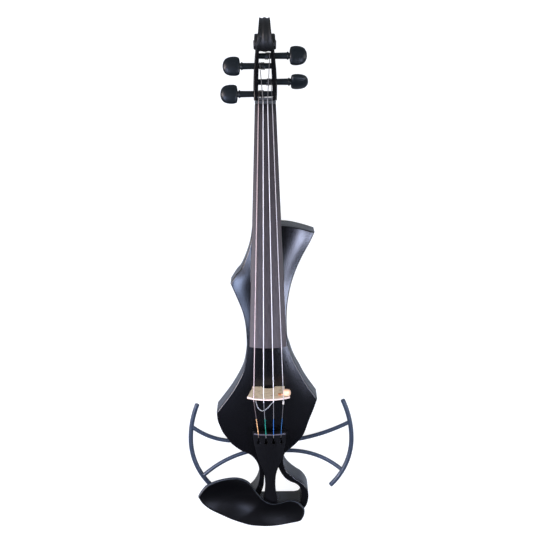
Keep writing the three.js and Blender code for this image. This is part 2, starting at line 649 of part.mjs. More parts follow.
function leastGap(route, string) {
  let least = Infinity;
  route.forEach((p, i) => {
    for (let j = i + winding.stepsPerTurn / 2; j < route.length; j += 1) {
      least = Math.min(least, p.distanceTo(route[j]) - 2 * string.radius);
    }
  });
  return least;
}

// A string from its ball in the tailpiece over the fret, the bridge and the nut to its peg
function stringRoute(string, frame) {
  const wrapSteps = 4;
  const wrapTurn = Math.PI / 2;
  const across = (spread) => string.place * spread;
  const nutX = across(stringSpread.nut);
  const bridgeX = across(stringSpread.bridge);
  const tailX = tailpiece.centre + across(stringSpread.tail);
  const nutZ = stringHeight.nut - arcDrop(nutX);
  const fretY = tailY(tailpiece.fretOffset);
  const fretZ = tailTop(fretY, tailX) + tailpiece.fretHeight + string.radius + stringGap;
  const slotY = tailY(tailpiece.keyholeOffset - tailpiece.slotLength + tailpiece.slotHalfWidth);
  const ballZ = tailTop(slotY, tailX) - tailpiece.thickness - ballRadius - clearance;
  const radius = pegRadius(runPlace(frame), frame) + winding.gap + string.radius;
  const fall = Math.atan2(nutZ - frame.z, frame.y - nutY);
  const start = fall - Math.asin(radius / Math.hypot(nutZ - frame.z, frame.y - nutY));
  const pegX = frame.side * runPlace(frame);
  const wrap = Array.from({ length: wrapSteps }, (_, k) => {
    const angle = start + (k / (wrapSteps - 1)) * wrapTurn;
    return new THREE.Vector3(pegX, frame.y + radius * Math.sin(angle), frame.z + radius * Math.cos(angle));
  });
  return [
    new THREE.Vector3(tailX, slotY, ballZ),
    new THREE.Vector3(tailX, slotY, tailTop(slotY, tailX) + string.radius),
    new THREE.Vector3(tailX, fretY, fretZ),
    new THREE.Vector3(bridgeX, 0, stringHeight.bridge - arcDrop(bridgeX)),
    new THREE.Vector3(nutX, nutY, nutZ),
    ...wrap,
  ];
}

function ballEnd(point) {
  const sides = 10;
  const rings = 6;
  return new THREE.SphereGeometry(ballRadius, sides, rings).translate(point.x, point.y, point.z);
}

// Tailpiece
function tailY(distance) {
  return -tailpiece.top - distance;
}

function tailShare(y) {
  return (-tailpiece.top - y) / tailpieceLength;
}

function tailHalfWidth(y) {
  return along(tailpieceWidthShares, tailShare(y)) * tailpiece.halfWidth;
}

function tailTop(y, x) {
  const across = (x - tailpiece.centre) / tailpiece.halfWidth;
  return mix(tailpiece.headHeight, tailpiece.endHeight, tailShare(y)) - tailpiece.arch * across * across;
}

function tailpieceBlank() {
  const steps = 8;
  return loft(tailpieceWidthShares.map(([share, width]) => {
    const y = tailY(share * tailpieceLength);
    const half = width * tailpiece.halfWidth;
    const places = Array.from({ length: steps + 1 }, (_, k) => tailpiece.centre + mix(-half, half, k / steps));
    const top = places.map((x) => new THREE.Vector3(x, y, tailTop(y, x)));
    const under = places.map((x) => new THREE.Vector3(x, y, tailTop(y, x) - tailpiece.thickness)).reverse();
    return [...top, ...under];
  }));
}

function keyhole(string) {
  const x = tailpiece.centre + string.place * stringSpread.tail;
  const y = tailY(tailpiece.keyholeOffset);
  const low = tailTop(y, x) - tailpiece.thickness - overrun;
  const high = tailTop(y, x) + overrun * 2;
  const slot = block(
    [x - tailpiece.slotHalfWidth, y, low],
    [x + tailpiece.slotHalfWidth, y + tailpiece.slotLength, high],
  );
  return union(roundBar(x, y, low, high, tailpiece.keyholeRadius, roundSides / 2), slot);
}

function fretBar() {
  const steps = 8;
  const y = tailY(tailpiece.fretOffset);
  const half = tailHalfWidth(y) - tailpiece.fretWidth;
  const front = y + tailpiece.fretWidth / 2;
  const back = y - tailpiece.fretWidth / 2;
  return loft(Array.from({ length: steps + 1 }, (_, k) => {
    const x = tailpiece.centre + mix(-half, half, k / steps);
    const high = tailTop(y, x) + tailpiece.fretHeight;
    const low = tailTop(front, x) + stringGap / 2;
    return [
      new THREE.Vector3(x, back, low), new THREE.Vector3(x, front, low),
      new THREE.Vector3(x, front, high), new THREE.Vector3(x, back, high),
    ];
  }));
}

// The middle of the tailpiece's thickness, where the ends of the loop sit
function tailMiddle(y, x) {
  return tailTop(y, x) - tailpiece.thickness / 2;
}

function loopEnd(side, reach) {
  const y = tailY(tailpieceLength) + reach;
  const x = side * loop.halfWidth;
  return new THREE.Vector3(x, y, tailMiddle(y, x));
}

function loopBore(side) {
  return sweep([loopEnd(side, -overrun), loopEnd(side, loop.reach + clearance)], loop.radius + clearance, loop.sides);
}

function tailLoop() {
  const over = legTop + saddle.height + loop.radius + clearance;
  const back = endY - clearance - button.neckLength / 2;
  const round = button.neckRadius + loop.radius + clearance;
  const half = loop.halfWidth;
  const sideRun = [
    loopEnd(1, loop.reach),
    loopEnd(1, loop.reach / 2),
    loopEnd(1, 0),
    new THREE.Vector3(half, endY + saddle.depth, over),
    new THREE.Vector3(half + clearance, endY, over),
    new THREE.Vector3(mix(half, round, 0.5), back, mix(over, button.height, 0.3)),
    new THREE.Vector3(round, back, mix(over, button.height, 0.75)),
    new THREE.Vector3(round, back, button.height),
    new THREE.Vector3(round * Math.SQRT1_2, back, button.height - round * Math.SQRT1_2),
  ];
  const bottom = new THREE.Vector3(0, back, button.height - round);
  const other = [...sideRun].reverse().map((p) => new THREE.Vector3(-p.x, p.y, p.z));
  other[other.length - 1] = loopEnd(-1, loop.reach);
  other[other.length - 2] = loopEnd(-1, loop.reach / 2);
  other[other.length - 3] = loopEnd(-1, 0);
  const curve = new THREE.CatmullRomCurve3([...sideRun, bottom, ...other]);
  return tube(curve, loop.radius, loop.sides, loop.steps);
}

function endButton() {
  const face = endY - clearance;
  const profile = [
    [0, endY + button.pinLength], [button.pinRadius, endY + button.pinLength], [button.pinRadius, face],
    [button.neckRadius, face], [button.neckRadius, face - button.neckLength],
    [button.radius, face - button.neckLength - clearance], [button.radius, face - button.length + button.neckLength / 2],
    [button.neckRadius, face - button.length], [0, face - button.length],
  ];
  const lathe = new THREE.LatheGeometry(profile.map(([x, y]) => new THREE.Vector2(x, y)).reverse(), roundSides);
  return lathe.translate(0, 0, button.height);
}

// Bridge: wide crown, two feet on the belly, thinner towards the crown
function crownZ(x) {
  return stringHeight.bridge - arcDrop(x) - strings[0].radius - stringGap;
}

function footZ(x) {
  return bellyHeight(x, bridge.footThickness / 2) + clearance;
}

// Place of the bridge's front face at a height
function bridgeFace(z) {
  const low = footZ(bridge.footHalfWidth);
  const share = (z - low) / (crownZ(0) - low);
  return stringGap + mix(bridge.footThickness, bridge.crownThickness, share);
}

function bridgeGeometry() {
  const crownSteps = 12;
  const archSteps = 6;
  const { crownHalfWidth: wide, footHalfWidth: footOut, footInner } = bridge;
  const half = [
    ...Array.from({ length: crownSteps / 2 }, (_, k) => {
      const x = mix(0, wide, k / (crownSteps / 2));
      return [x, crownZ(x)];
    }),
    [wide, crownZ(wide)],
    [wide - bridge.footHeight * 0.3, crownZ(wide) - bridge.footHeight],
    [footOut, footZ(footOut) + bridge.footHeight],
    [footOut, footZ(footOut)],
    [mix(footInner, footOut, 0.5), footZ(mix(footInner, footOut, 0.5))],
    [footInner, footZ(footInner)],
    ...Array.from({ length: archSteps }, (_, k) => {
      const angle = ((k + 1) / archSteps) * (Math.PI / 2);
      return [footInner * Math.cos(angle), footZ(footInner) + bridge.archHeight * Math.sin(angle)];
    }),
  ];
  const mirrored = half.slice(1, -1).reverse().map(([x, z]) => [-x, z]);
  const outline = new THREE.Shape([...half, ...mirrored].map(([x, z]) => new THREE.Vector2(x, z)));
  const geometry = new THREE.ExtrudeGeometry(outline, { depth: 1, bevelEnabled: false, steps: 1 });
  const places = geometry.getAttribute("position");
  for (let i = 0; i < places.count; i += 1) {
    const z = places.getY(i);
    places.setXYZ(i, places.getX(i), mix(bridgeFace(z), stringGap, places.getZ(i)), z);
  }
  return geometry;
}

// A domed disc on the bridge's front face, with a flat tab that runs inwards from its edge
function pickupDisc() {
  const z = crownZ(pickup.x) - pickup.belowCrown;
  const back = bridgeFace(z - pickup.radius) + clearance;
  const profile = pickupShares.map(([wide, high]) => new THREE.Vector2(wide * pickup.radius, high * pickup.thickness));
  const dome = new THREE.LatheGeometry(
    [new THREE.Vector2(0, 0), ...profile, new THREE.Vector2(0, pickup.thickness)], pickup.sides,
  );
  const tabEnd = pickup.x - pickup.radius - pickup.tabLength;
  const tab = block(
    [tabEnd, back, z - pickup.tabHalfWidth], [pickup.x, back + pickup.tabThickness, z + pickup.tabHalfWidth],
  );
  return union(dome.translate(pickup.x, back, z), tab);
}

// Chin rest: a dished cup on the left that runs over the tail into a lower lobe
function chinrestOutline() {
  const points = chinrestShares.map(([x, y]) => new THREE.Vector3(x * chinrest.width, y * chinrest.depth, 0));
  const curve = new THREE.CatmullRomCurve3(points, true);
  return Array.from({ length: chinrestStations }, (_, i) => curve.getPoint(i / chinrestStations));
}

function bowl(x, y, { x: cx, y: cy, halfWidth, halfDepth }) {
  const dx = (x / chinrest.width - cx) / halfWidth;
  const dy = (y / chinrest.depth - cy) / halfDepth;
  return Math.max(0, 1 - dx * dx - dy * dy) ** hollowPower;
}

function rimHeight(x) {
  return chinrest.rim - chinrest.fall * smooth(0.12, 0.5, x / chinrest.width);
}

function dish(x, y) {
  return chinrest.cupDepth * bowl(x, y, cupShares) + chinrest.throatDepth * bowl(x, y, throatShares)
    + chinrest.lobeDepth * bowl(x, y, lobeShares);
}

function chinrestShell() {
  const outline = chinrestOutline();
  const ring = (scale, height) => outline.map((p) => {
    const x = p.x * scale;
    const y = p.y * scale;
    return new THREE.Vector3(chinrest.centreX + x, chinrestY + y, height(x, y));
  });
  const rim = (x) => rimHeight(x);
  return loft([
    ...[0.3, 0.6, 0.85].map((scale) => ring(scale, (x, y) => rim(x) - dish(x, y) - chinrest.shell)),
    ring(0.965, (x) => rim(x) - chinrest.edge),
    ring(1, (x) => rim(x) - chinrest.edge + chinrest.lip),
    ring(1, (x) => rim(x) - chinrest.lip),
    ring(0.98, (x) => rim(x)),
    ...[0.93, 0.84, 0.7, 0.5, 0.28].map((scale) => ring(scale, (x, y) => rim(x) - dish(x, y))),
  ]);
}

function chinrestFeet() {
  const low = legTop + foot.cork + clearance * 2;
  return [[foot.leftX, foot.leftWidth], [foot.rightX, foot.rightWidth]].map(([x, width]) => {
    const y = endY + foot.depth / 2 + clearance;
    const local = { x: x + width / 2 - chinrest.centreX, y: y - chinrestY };
    const high = rimHeight(local.x) - dish(local.x, local.y) - chinrest.shell / 2;
    return block([x, y - foot.depth / 2, low], [x + width, y + foot.depth / 2, high]);
  });
}

function corkPad(x, width) {
  const y = endY + foot.depth / 2 + clearance;
  const low = legTop + clearance;
  return block([x, y - foot.depth / 2, low], [x + width, y + foot.depth / 2, low + foot.cork]);
}

const clampY = endY - clearance - clamp.barrelRadius - clearance;
const barrelTop = clamp.barrelBottom + clamp.barrelLength;

function chinUnderside(x, y) {
  const localX = x - chinrest.centreX;
  const localY = y - chinrestY;
  return rimHeight(localX) - dish(localX, localY) - chinrest.shell;
}

function clampPlate() {
  const top = Math.min(chinUnderside(clamp.leftX, clampY), chinUnderside(clamp.rightX, clampY))
    - chinrest.edge + chinrest.shell - clearance;
  const half = clamp.plateWidth / 2;
  const plate = block(
    [clamp.leftX - half, clampY - half + clearance, top - clamp.plate],
    [clamp.rightX + half, clampY + half - clearance, top],
  );
  const rods = [clamp.leftX, clamp.rightX].map((x) => {
    return roundBar(x, clampY, barrelTop - clamp.rodEntry, top - clamp.plate / 2, clamp.rodRadius, clamp.sides);
  });
  return union(plate, ...rods);
}

function clampFoot() {
  const half = clamp.plateWidth / 2;
  const plate = block(
    [clamp.leftX - half, clampY - half + clearance, clamp.rest],
    [clamp.rightX + half, endY + clamp.footLength, clamp.rest + clamp.plate],
  );
  const rods = [clamp.leftX, clamp.rightX].map((x) => {
    const top = clamp.barrelBottom + clamp.rodEntry;
    return roundBar(x, clampY, clamp.rest + clamp.plate / 2, top, clamp.rodRadius, clamp.sides);
  });
  const pad = block(
    [clamp.leftX - half, endY + clearance * 2, clamp.rest + clamp.plate - mergeDistance],
    [clamp.rightX + half, endY + clamp.footLength, clamp.rest + clamp.plate + clamp.padThickness],
  );
  return union(plate, pad, ...rods);
}

function clampBarrel(x) {
  const barrel = roundBar(x, clampY, clamp.barrelBottom, barrelTop, clamp.barrelRadius, clamp.sides);
  const bore = roundBar(
    x, clampY, clamp.barrelBottom - overrun, barrelTop + overrun, clamp.boreRadius, clamp.sides,
  );
  const middle = (clamp.barrelBottom + barrelTop) / 2;
  const key = roundBarY(x, middle, clampY - clamp.barrelRadius * 2, clampY + clamp.barrelRadius * 2,
    clamp.keyRadius, clamp.sides / 2);
  return cut(barrel, bore, key);
}

function clampRecess() {
  const half = clamp.plateWidth / 2 + clearance * 2;
  return block(
    [clamp.leftX - half, endY - overrun, -overrun],
    [clamp.rightX + half, endY + clamp.footLength + clearance * 2, clamp.recess],
  );
}

// Wings
const waistY = wing.waistShare * bodyLength;

function wingPlace(x, y, side) {
  const turn = THREE.MathUtils.degToRad(wing.turnDegrees);
  const wide = side * x;
  return new THREE.Vector3(
    wing.centreX + wide * Math.cos(turn) - (y - waistY) * Math.sin(turn),
    y + wide * Math.sin(turn),
    wing.height,
  );
}

// A place on a wing's middle line, at a share from -1 at its upper end to 1 at its lower end
function wingPoint(side, share) {
  const radius = share < 0 ? wing.upperRadius : wing.lowerRadius;
  const reach = share < 0 ? wing.upperReach : wing.lowerReach;
  const angle = Math.abs(share) * Math.asin(reach / radius);
  const x = wing.halfSpan - radius * (1 - Math.cos(angle));
  const y = waistY - Math.sign(share) * radius * Math.sin(angle);
  return wingPlace(x, y, side);
}

function wingCurve(side) {
  const halfSteps = 5;
  return new THREE.CatmullRomCurve3(Array.from({ length: 2 * halfSteps + 1 }, (_, i) => {
    return wingPoint(side, i / halfSteps - 1);
  }));
}

function strutTube(name, grow) {
  const { side, wing: wingShare, body: [x, y], bow } = strutShares[name];
  const outer = wingPoint(side, wingShare);
  const inner = new THREE.Vector3(x * bodyHalfWidth, y * bodyLength, wing.height);
  const run = inner.clone().sub(outer);
  const middle = outer.clone().add(inner).multiplyScalar(0.5);
  middle.x -= 2 * bow * run.y;
  middle.y += 2 * bow * run.x;
  return tube(new THREE.QuadraticBezierCurve3(outer, middle, inner), strut.radius + grow, strut.sides, strut.steps);
}

// The part of a strut between its socket in the body and the wing's tube
function strutGeometry(name) {
  const ring = tube(wingCurve(strutShares[name].side), wing.tubeRadius + clearance, wing.sides, wing.steps);
  const pieces = solid(strutTube(name, 0)).subtract(solid(ring)).decompose();
  return geometryOf(pieces.sort((a, b) => b.volume() - a.volume())[0]);
}

// Electronics
const batteryLow = {
  x: batteryBay.centreX - battery.width / 2,
  y: batteryBay.centreY - (battery.length + battery.clipLength) / 2,
};
const batteryHigh = {
  x: batteryBay.centreX + battery.width / 2,
  y: batteryBay.centreY + (battery.length + battery.clipLength) / 2,
};
const doorEdge = batteryBay.slack + door.margin;
const doorLow = { x: batteryLow.x - doorEdge, y: batteryLow.y - doorEdge };
const doorHigh = { x: batteryHigh.x + doorEdge, y: batteryHigh.y + doorEdge };
const hingeY = doorHigh.y - door.barrelRadius;
const hingeZ = door.barrelRadius;

function batteryCavity() {
  const bay = block(
    [batteryLow.x - batteryBay.slack, batteryLow.y - batteryBay.slack, -overrun],
    [batteryHigh.x + batteryBay.slack, batteryHigh.y + batteryBay.slack, batteryBay.depth],
  );
  const wires = block(
    [wireway.lowX, wireway.lowY, wireway.low], [wireway.highX, wireway.highY, wireway.high],
  );
  return union(bay, wires);
}

function barAlongX(low, high, y, z, radius, sides) {
  const bar = new THREE.CylinderGeometry(radius, radius, high - low, sides);
  return bar.rotateZ(Math.PI / 2).translate((low + high) / 2, y, z);
}

function doorSeat() {
  const gap = clearance;
  const plate = block(
    [doorLow.x - gap, doorLow.y - gap, -overrun],
    [doorHigh.x + gap, hingeY, door.thickness + gap],
  );
  const barrel = block(
    [doorLow.x - gap, hingeY - door.barrelRadius * 2, -overrun],
    [doorHigh.x + gap, hingeY + door.barrelRadius + gap, 2 * door.barrelRadius + gap],
  );
  const pin = barAlongX(
    doorLow.x - door.pinOverlap - gap, doorHigh.x + door.pinOverlap + gap, hingeY, hingeZ,
    door.pinRadius + gap, roundSides / 2,
  );
  return union(plate, barrel, pin);
}

function batteryDoor() {
  const plate = block([doorLow.x, doorLow.y, 0], [doorHigh.x, hingeY, door.thickness]);
  const barrel = barAlongX(doorLow.x, doorHigh.x, hingeY, hingeZ, door.barrelRadius, roundSides);
  const bore = barAlongX(
    doorLow.x - overrun, doorHigh.x + overrun, hingeY, hingeZ, door.pinRadius + clearance, roundSides / 2,
  );
  return cut(union(plate, barrel), bore);
}

function doorPin() {
  return barAlongX(
    doorLow.x - door.pinOverlap, doorHigh.x + door.pinOverlap, hingeY, hingeZ, door.pinRadius, roundSides / 2,
  );
}

const batteryZ = 2 * door.barrelRadius + 2 * clearance;

function batteryCell() {
  return block(
    [batteryLow.x, batteryLow.y, batteryZ],
    [batteryHigh.x, batteryLow.y + battery.length, batteryZ + battery.thickness],
  );
}

function batteryClip() {
  return block(
    [batteryLow.x + clearance, batteryLow.y + battery.length + clearance, batteryZ + clearance],
    [batteryHigh.x - clearance, batteryHigh.y, batteryZ + battery.thickness - clearance],
  );
}

const panelLow = { x: controlBay.lowX - panel.ledge, y: controlBay.lowY - panel.ledgeY };
const panelHigh = { x: controlBay.highX + panel.ledge, y: controlBay.highY + panel.ledgeY };
const panelTop = panel.sunk + panel.thickness;
const controlY = (controlBay.lowY + controlBay.highY) / 2;
const screwPlaces = [panelLow.x, panelHigh.x].flatMap((x, i) => [-1, 1].map((way) => ({
  x: x + (i === 0 ? 1 : -1) * (panel.ledge / 2),
  y: controlY + way * screw.spread,
})));

function controlCavity() {
  const bay = block(
    [controlBay.lowX, controlBay.lowY, -overrun],
    [controlBay.highX, controlBay.highY, controlBay.depth],
  );
  const seat = block(
    [panelLow.x - clearance, panelLow.y - clearance, -overrun],
    [panelHigh.x + clearance, panelHigh.y + clearance, panelTop],
  );
  const bores = screwPlaces.map(({ x, y }) => {
    return roundBar(x, y, 0, panel.sunk + screw.length + clearance, screw.radius + clearance, screw.sides);
  });
  return union(bay, seat, ...bores);
}

function controlPanel() {
  const plate = block(
    [panelLow.x, panelLow.y, panel.sunk - clearance],
    [panelHigh.x, panelHigh.y, panelTop - clearance],
  );
  const holes = [knobX.volume, knobX.tone].map((x) => {
    return roundBar(x, controlY, 0, panelTop + overrun, pot.bushRadius + clearance);
  });
  const phones = roundBar(
    phonesJack.x, controlY - phonesJack.offsetY, 0, panelTop + overrun, phonesJack.bushRadius + clearance,
  );
  const screws = screwPlaces.map(({ x, y }) => {
    return roundBar(x, y, 0, panelTop + overrun, screw.radius + clearance, screw.sides);
  });
  return cut(plate, ...holes, phones, ...screws);
}

function panelScrew({ x, y }) {
  const under = panel.sunk - 2 * clearance;
  const profile = [
    [0, under - screw.headHeight], [screw.headRadius, under - screw.headHeight], [screw.headRadius, under],
    [screw.radius, under], [screw.radius, under + screw.length], [0, under + screw.length],
  ];
  const lathe = new THREE.LatheGeometry(profile.map(([r, z]) => new THREE.Vector2(r, z)), screw.sides);
  return lathe.rotateX(Math.PI / 2).translate(x, y, 0);
}

function controlKnob(x) {
  const steps = knob.flutes * 4;
  const rim = Array.from({ length: steps }, (_, k) => {
    const angle = (k / steps) * 2 * Math.PI;
    const inset = k % 4 === 0 ? knob.fluteDepth : 0;
    return new THREE.Vector2((knob.radius - inset) * Math.cos(angle), (knob.radius - inset) * Math.sin(angle));
  });
  const body = new THREE.ExtrudeGeometry(new THREE.Shape(rim), { depth: knob.height, bevelEnabled: false });
  const low = knob.recess;
  const shaft = roundBar(0, 0, low + knob.height / 2, low + knob.height + knob.shaftLength, knob.shaftRadius,
    roundSides / 2);
  return union(body.translate(0, 0, low), shaft).translate(x, controlY, 0);
}

function potBody(x) {
  const low = panelTop;
  const can = roundBar(x, controlY, low, low + pot.height, pot.radius);
  const bush = roundBar(x, controlY, knob.recess + knob.height + clearance, low + clearance, pot.bushRadius);
  const boreTop = knob.recess + knob.height + knob.shaftLength + clearance;
  const bore = roundBar(x, controlY, 0, boreTop, pot.boreRadius, roundSides / 2);
  return cut(union(can, bush), bore);
}

function phonesSocket() {
  const y = controlY - phonesJack.offsetY;
  const low = panelTop;
  const can = roundBar(phonesJack.x, y, low, low + phonesJack.height, phonesJack.radius);
  const bush = roundBar(phonesJack.x, y, panel.sunk - 3 * clearance, low + clearance, phonesJack.bushRadius);
  const bore = roundBar(phonesJack.x, y, 0, low + phonesJack.height * 0.8, phonesJack.boreRadius, roundSides / 2);
  return cut(union(can, bush), bore);
}

function circuitBoard() {
  const low = panelTop + pot.height + board2.gap;
  return block(
    [controlBay.lowX + board2.margin, controlBay.lowY + board2.margin, low],
    [board2.rightX, controlBay.highY - board2.margin, low + board2.thickness],
  );
}

const jackFace = controlBay.lowY - outputJack.wall;

function outputSocket() {
  const { x, height } = outputJack;
  const flange = roundBarY(x, height, jackFace - clearance - outputJack.flange, jackFace - clearance,
    outputJack.flangeRadius);
  const thread = roundBarY(x, height, jackFace - outputJack.flange / 2, controlBay.lowY + outputJack.wall,
    outputJack.threadRadius);
  const start = controlBay.lowY + clearance;
  const end = start + outputJack.length;
  const can = roundBarY(x, height, start, end, outputJack.radius);
  const bore = roundBarY(x, height, jackFace - overrun * 2, jackFace + outputJack.boreDepth, outputJack.boreRadius);
  return cut(union(flange, thread, can), bore);
}

function jackHoles() {
  const { x, height } = outputJack;
  const recess = roundBarY(x, height, jackFace - outputJack.recessLength, jackFace, outputJack.recessRadius);
  const bore = roundBarY(x, height, jackFace - overrun, controlBay.lowY + overrun,
    outputJack.threadRadius + clearance);
  return union(recess, bore);
}

// Assembly
const pegFrames = new Map(pegLayout.map((row) => [row.name, pegFrame(row)]));
const stringOf = new Map(strings.map((row) => [row.name, row]));
const sides = [["left", -1], ["right", 1]];
const leadEnd = leadPoints[leadPoints.length - 1];

function bodyCore() {
  const blank = extrudeOutline(bodyOutline, 0, ribHeight);
  const sockets = Object.keys(strutShares).map((name) => strutTube(name, clearance));
  const pinHole = roundBarY(0, button.height, endY - overrun, endY + button.pinLength + clearance,
    button.pinRadius + clearance);
  const leadBore = roundBar(leadEnd.x, leadEnd.y, wireway.low, ribHeight + overrun, leadHole.radius, roundSides / 2);
  return cut(blank, batteryCavity(), doorSeat(), controlCavity(), jackHoles(), clampRecess(), pinHole, leadBore,
    ...sockets);
}

function bellyPlate() {
  const blank = extrudeOutline(bodyOutline, ribHeight, ribHeight + bellyEdge + bellyArch + legPlate);
  const leadBore = roundBar(leadEnd.x, leadEnd.y, 0, legTop + bellyArch, leadHole.radius, roundSides / 2);
  const arched = solid(blank).intersect(solid(bellySlab()));
  return geometryOf(arched.subtract(solid(neckFoot(clearance, ribHeight - overrun))).subtract(solid(leadBore)));
}

function neck() {
  const holes = [...pegFrames.values()].map((frame) => placePeg(pegShaft(frame, clearance, overrun), frame));
  const wood = union(neckShaft(), neckFoot(0, ribHeight + clearance), pegboxBlock(), volute());
  return cut(wood, pegboxWindow(), ...holes, nutSeat());
}

function nutSeat() {
  const half = pegboxHalfWidth(nutY) + overrun;
  const low = boardTop(boardTopY) - nut.sink - clearance;
  return block([-half, boardTopY, low], [half, nutY, pegbox.topNut + overrun]);
}

function nutBlock() {
  const steps = 8;
  const half = boardHalfWidth(boardTopY);
  const low = boardTop(boardTopY) - nut.sink;
  const back = nutY - clearance;
  return loft([back - nut.thickness + clearance, back].map((y) => {
    const top = Array.from({ length: steps + 1 }, (_, k) => {
      const x = mix(half, -half, k / steps);
      return new THREE.Vector3(x, y, stringHeight.nut - arcDrop(x) - strings[0].radius - stringGap);
    });
    return [...top, new THREE.Vector3(-half, y, low), new THREE.Vector3(half, y, low)];
  }));
}

function saddleBlock() {
  const low = legTop + clearance;
  return block(
    [-saddle.halfWidth, endY + saddle.inset, low],
    [saddle.halfWidth, endY + saddle.inset + saddle.depth, legTop + saddle.height],
  );
}

function stringSleeve() {
  const route = stringRoute(stringOf.get("e"), pegFrames.get("e"));
  const [fret, crown] = [route[2], route[3]];
  const run = fret.clone().sub(crown).normalize();
  const start = crown.clone().addScaledVector(run, sleeve.offset);
  const end = start.clone().addScaledVector(run, sleeve.length);
  const inner = stringOf.get("e").radius + clearance;
  const longer = (extra) => [start.clone().addScaledVector(run, -extra), end.clone().addScaledVector(run, extra)];
  return cut(sweep(longer(0), sleeve.radius, sleeve.sides), sweep(longer(overrun), inner, sleeve.sides));
}

add("body_core", bodyCore(), blackLacquer);
add("belly_plate", bellyPlate(), blackLacquer);
add("neck", neck(), blackLacquer);
add("fingerboard", fingerboard(), ebony);
add("nut", nutBlock(), boneWhite);
add("saddle", saddleBlock(), ebony);
add("end_button", endButton(), ebony);
add("tail_loop", tailLoop(), blackPlastic);
add("tailpiece", cut(tailpieceBlank(), ...strings.map(keyhole), loopBore(-1), loopBore(1)), blackPlastic);
add("tailpiece_fret", fretBar(), blackPlastic);
add("bridge", bridgeGeometry(), maple);
add("pickup_disc", pickupDisc(), maple);
add("pickup_lead", tube(new THREE.CatmullRomCurve3(leadPoints), lead.radius, lead.sides, lead.steps), greyCover);
add("string_sleeve", stringSleeve(), boneWhite);

for (const string of strings) {
  const frame = pegFrames.get(string.name);
  const route = stringRoute(string, frame);
  const turns = windingRoute(frame, string);
  console.log("least gap in winding", string.name, leastGap(turns, string).toFixed(2), "mm");
  const shaft = solid(pegShaft(frame, 0, 0)).add(solid(pegHead(frame)));
  add("string_" + string.name, union(sweep(route, string.radius, stringSides), ballEnd(route[0])), steel);
  add("winding_" + string.name, sweep(turns, string.radius, winding.sides), steel);
  add("peg_" + string.name, placePeg(geometryOf(shaft), frame), blackPlastic);
}

add("chinrest", union(chinrestShell(), ...chinrestFeet()), blackLacquer);
add("chinrest_cork_left", corkPad(foot.leftX, foot.leftWidth), corkTan);
add("chinrest_cork_right", corkPad(foot.rightX, foot.rightWidth), corkTan);
add("clamp_plate", clampPlate(), steel);
add("clamp_foot", clampFoot(), steel);
add("clamp_barrel_left", clampBarrel(clamp.leftX), steel);
add("clamp_barrel_right", clampBarrel(clamp.rightX), steel);

for (const [name, side] of sides) {
  add("wing_" + name, tube(wingCurve(side), wing.tubeRadius, wing.sides, wing.steps), greyTube);
}
for (const name of Object.keys(strutShares)) add("strut_" + name, strutGeometry(name), greyTube);

add("battery", batteryCell(), steel);
add("battery_clip", batteryClip(), blackPlastic);
add("battery_door", batteryDoor(), blackPlastic);
add("door_pin", doorPin(), steel);
add("control_panel", controlPanel(), blackPlastic);
add("circuit_board", circuitBoard(), greenBoard);
add("volume_knob", controlKnob(knobX.volume), blackPlastic);
add("tone_knob", controlKnob(knobX.tone), blackPlastic);
add("volume_pot", potBody(knobX.volume), steel);
add("tone_pot", potBody(knobX.tone), steel);
add("phones_jack", phonesSocket(), blackPlastic);
add("output_jack", outputSocket(), steel);
screwPlaces.forEach((place, i) => add("panel_screw_" + (i + 1), panelScrew(place), steel));

export default violin;
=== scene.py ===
"""Electric violin with a slim black body, bent tube wings and a wide chin rest.

The instrument lies on its back: +Z out of the front, +Y towards the scroll, +X towards the
highest string. Sizes are written in millimetres and turned into metres when a mesh is made.
"""

from __future__ import annotations

import logging
import math
from collections.abc import Callable, Sequence
from dataclasses import dataclass, field
from enum import Enum

import bmesh
import bpy
from bpy.types import Material, Mesh, Node, NodeSocket, NodeTree, Object
from mathutils import Matrix, Vector
from mathutils.geometry import delaunay_2d_cdt


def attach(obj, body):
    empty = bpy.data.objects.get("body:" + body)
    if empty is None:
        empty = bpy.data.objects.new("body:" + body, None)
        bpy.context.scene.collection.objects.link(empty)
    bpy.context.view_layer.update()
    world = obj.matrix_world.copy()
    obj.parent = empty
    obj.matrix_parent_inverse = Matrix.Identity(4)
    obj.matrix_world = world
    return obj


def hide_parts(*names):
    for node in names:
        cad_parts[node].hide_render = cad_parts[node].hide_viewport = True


LOG = logging.getLogger("violin")
MM = 0.001
ROOT_BODY = "instrument"
# Points nearer than this become one; a CAD mesh is welded a little wider
WELD = 1e-6
REFINE_WELD = 2e-6
# Faces of a CAD mesh that meet flatter than this become one
FLAT_ANGLE = math.radians(0.6)
# A face is level when its normal points up or down by more than this share
LEVEL = 0.9999
# A mitred corner reaches no further than the inset divided by this
CORNER_LIMIT = 0.45
# Room round a grid point, and shift of every other row, as a share of the spacing
GRID_CLEARANCE = 0.5
# Shares of a string spread at which the four strings lie
STRING_SHARES = (-1 / 2, -1 / 6, 1 / 6, 1 / 2)

Row = tuple[float, float]
Triple = tuple[float, float, float]
Height = Callable[[float, float], float]

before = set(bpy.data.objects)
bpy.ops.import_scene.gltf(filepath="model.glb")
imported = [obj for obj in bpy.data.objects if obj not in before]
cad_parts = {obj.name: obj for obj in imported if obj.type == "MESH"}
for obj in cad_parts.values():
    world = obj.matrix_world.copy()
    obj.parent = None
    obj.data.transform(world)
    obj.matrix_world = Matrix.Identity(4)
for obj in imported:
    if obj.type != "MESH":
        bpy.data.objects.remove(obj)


# Small sums


def mix(low: float, high: float, share: float) -> float:
    """Return the value at a share of the way from low to high."""
    return low + (high - low) * share


def spread(low: float, high: float, steps: int) -> list[float]:
    """Return values at even steps from low to high, both included."""
    return [mix(low, high, k / steps) for k in range(steps + 1)]


def smooth(low: float, high: float, value: float) -> float:
    """Return 0 below low, 1 above high, and a soft step between them."""
    share = min(max((value - low) / (high - low), 0.0), 1.0)
    return share * share * (3 - 2 * share)


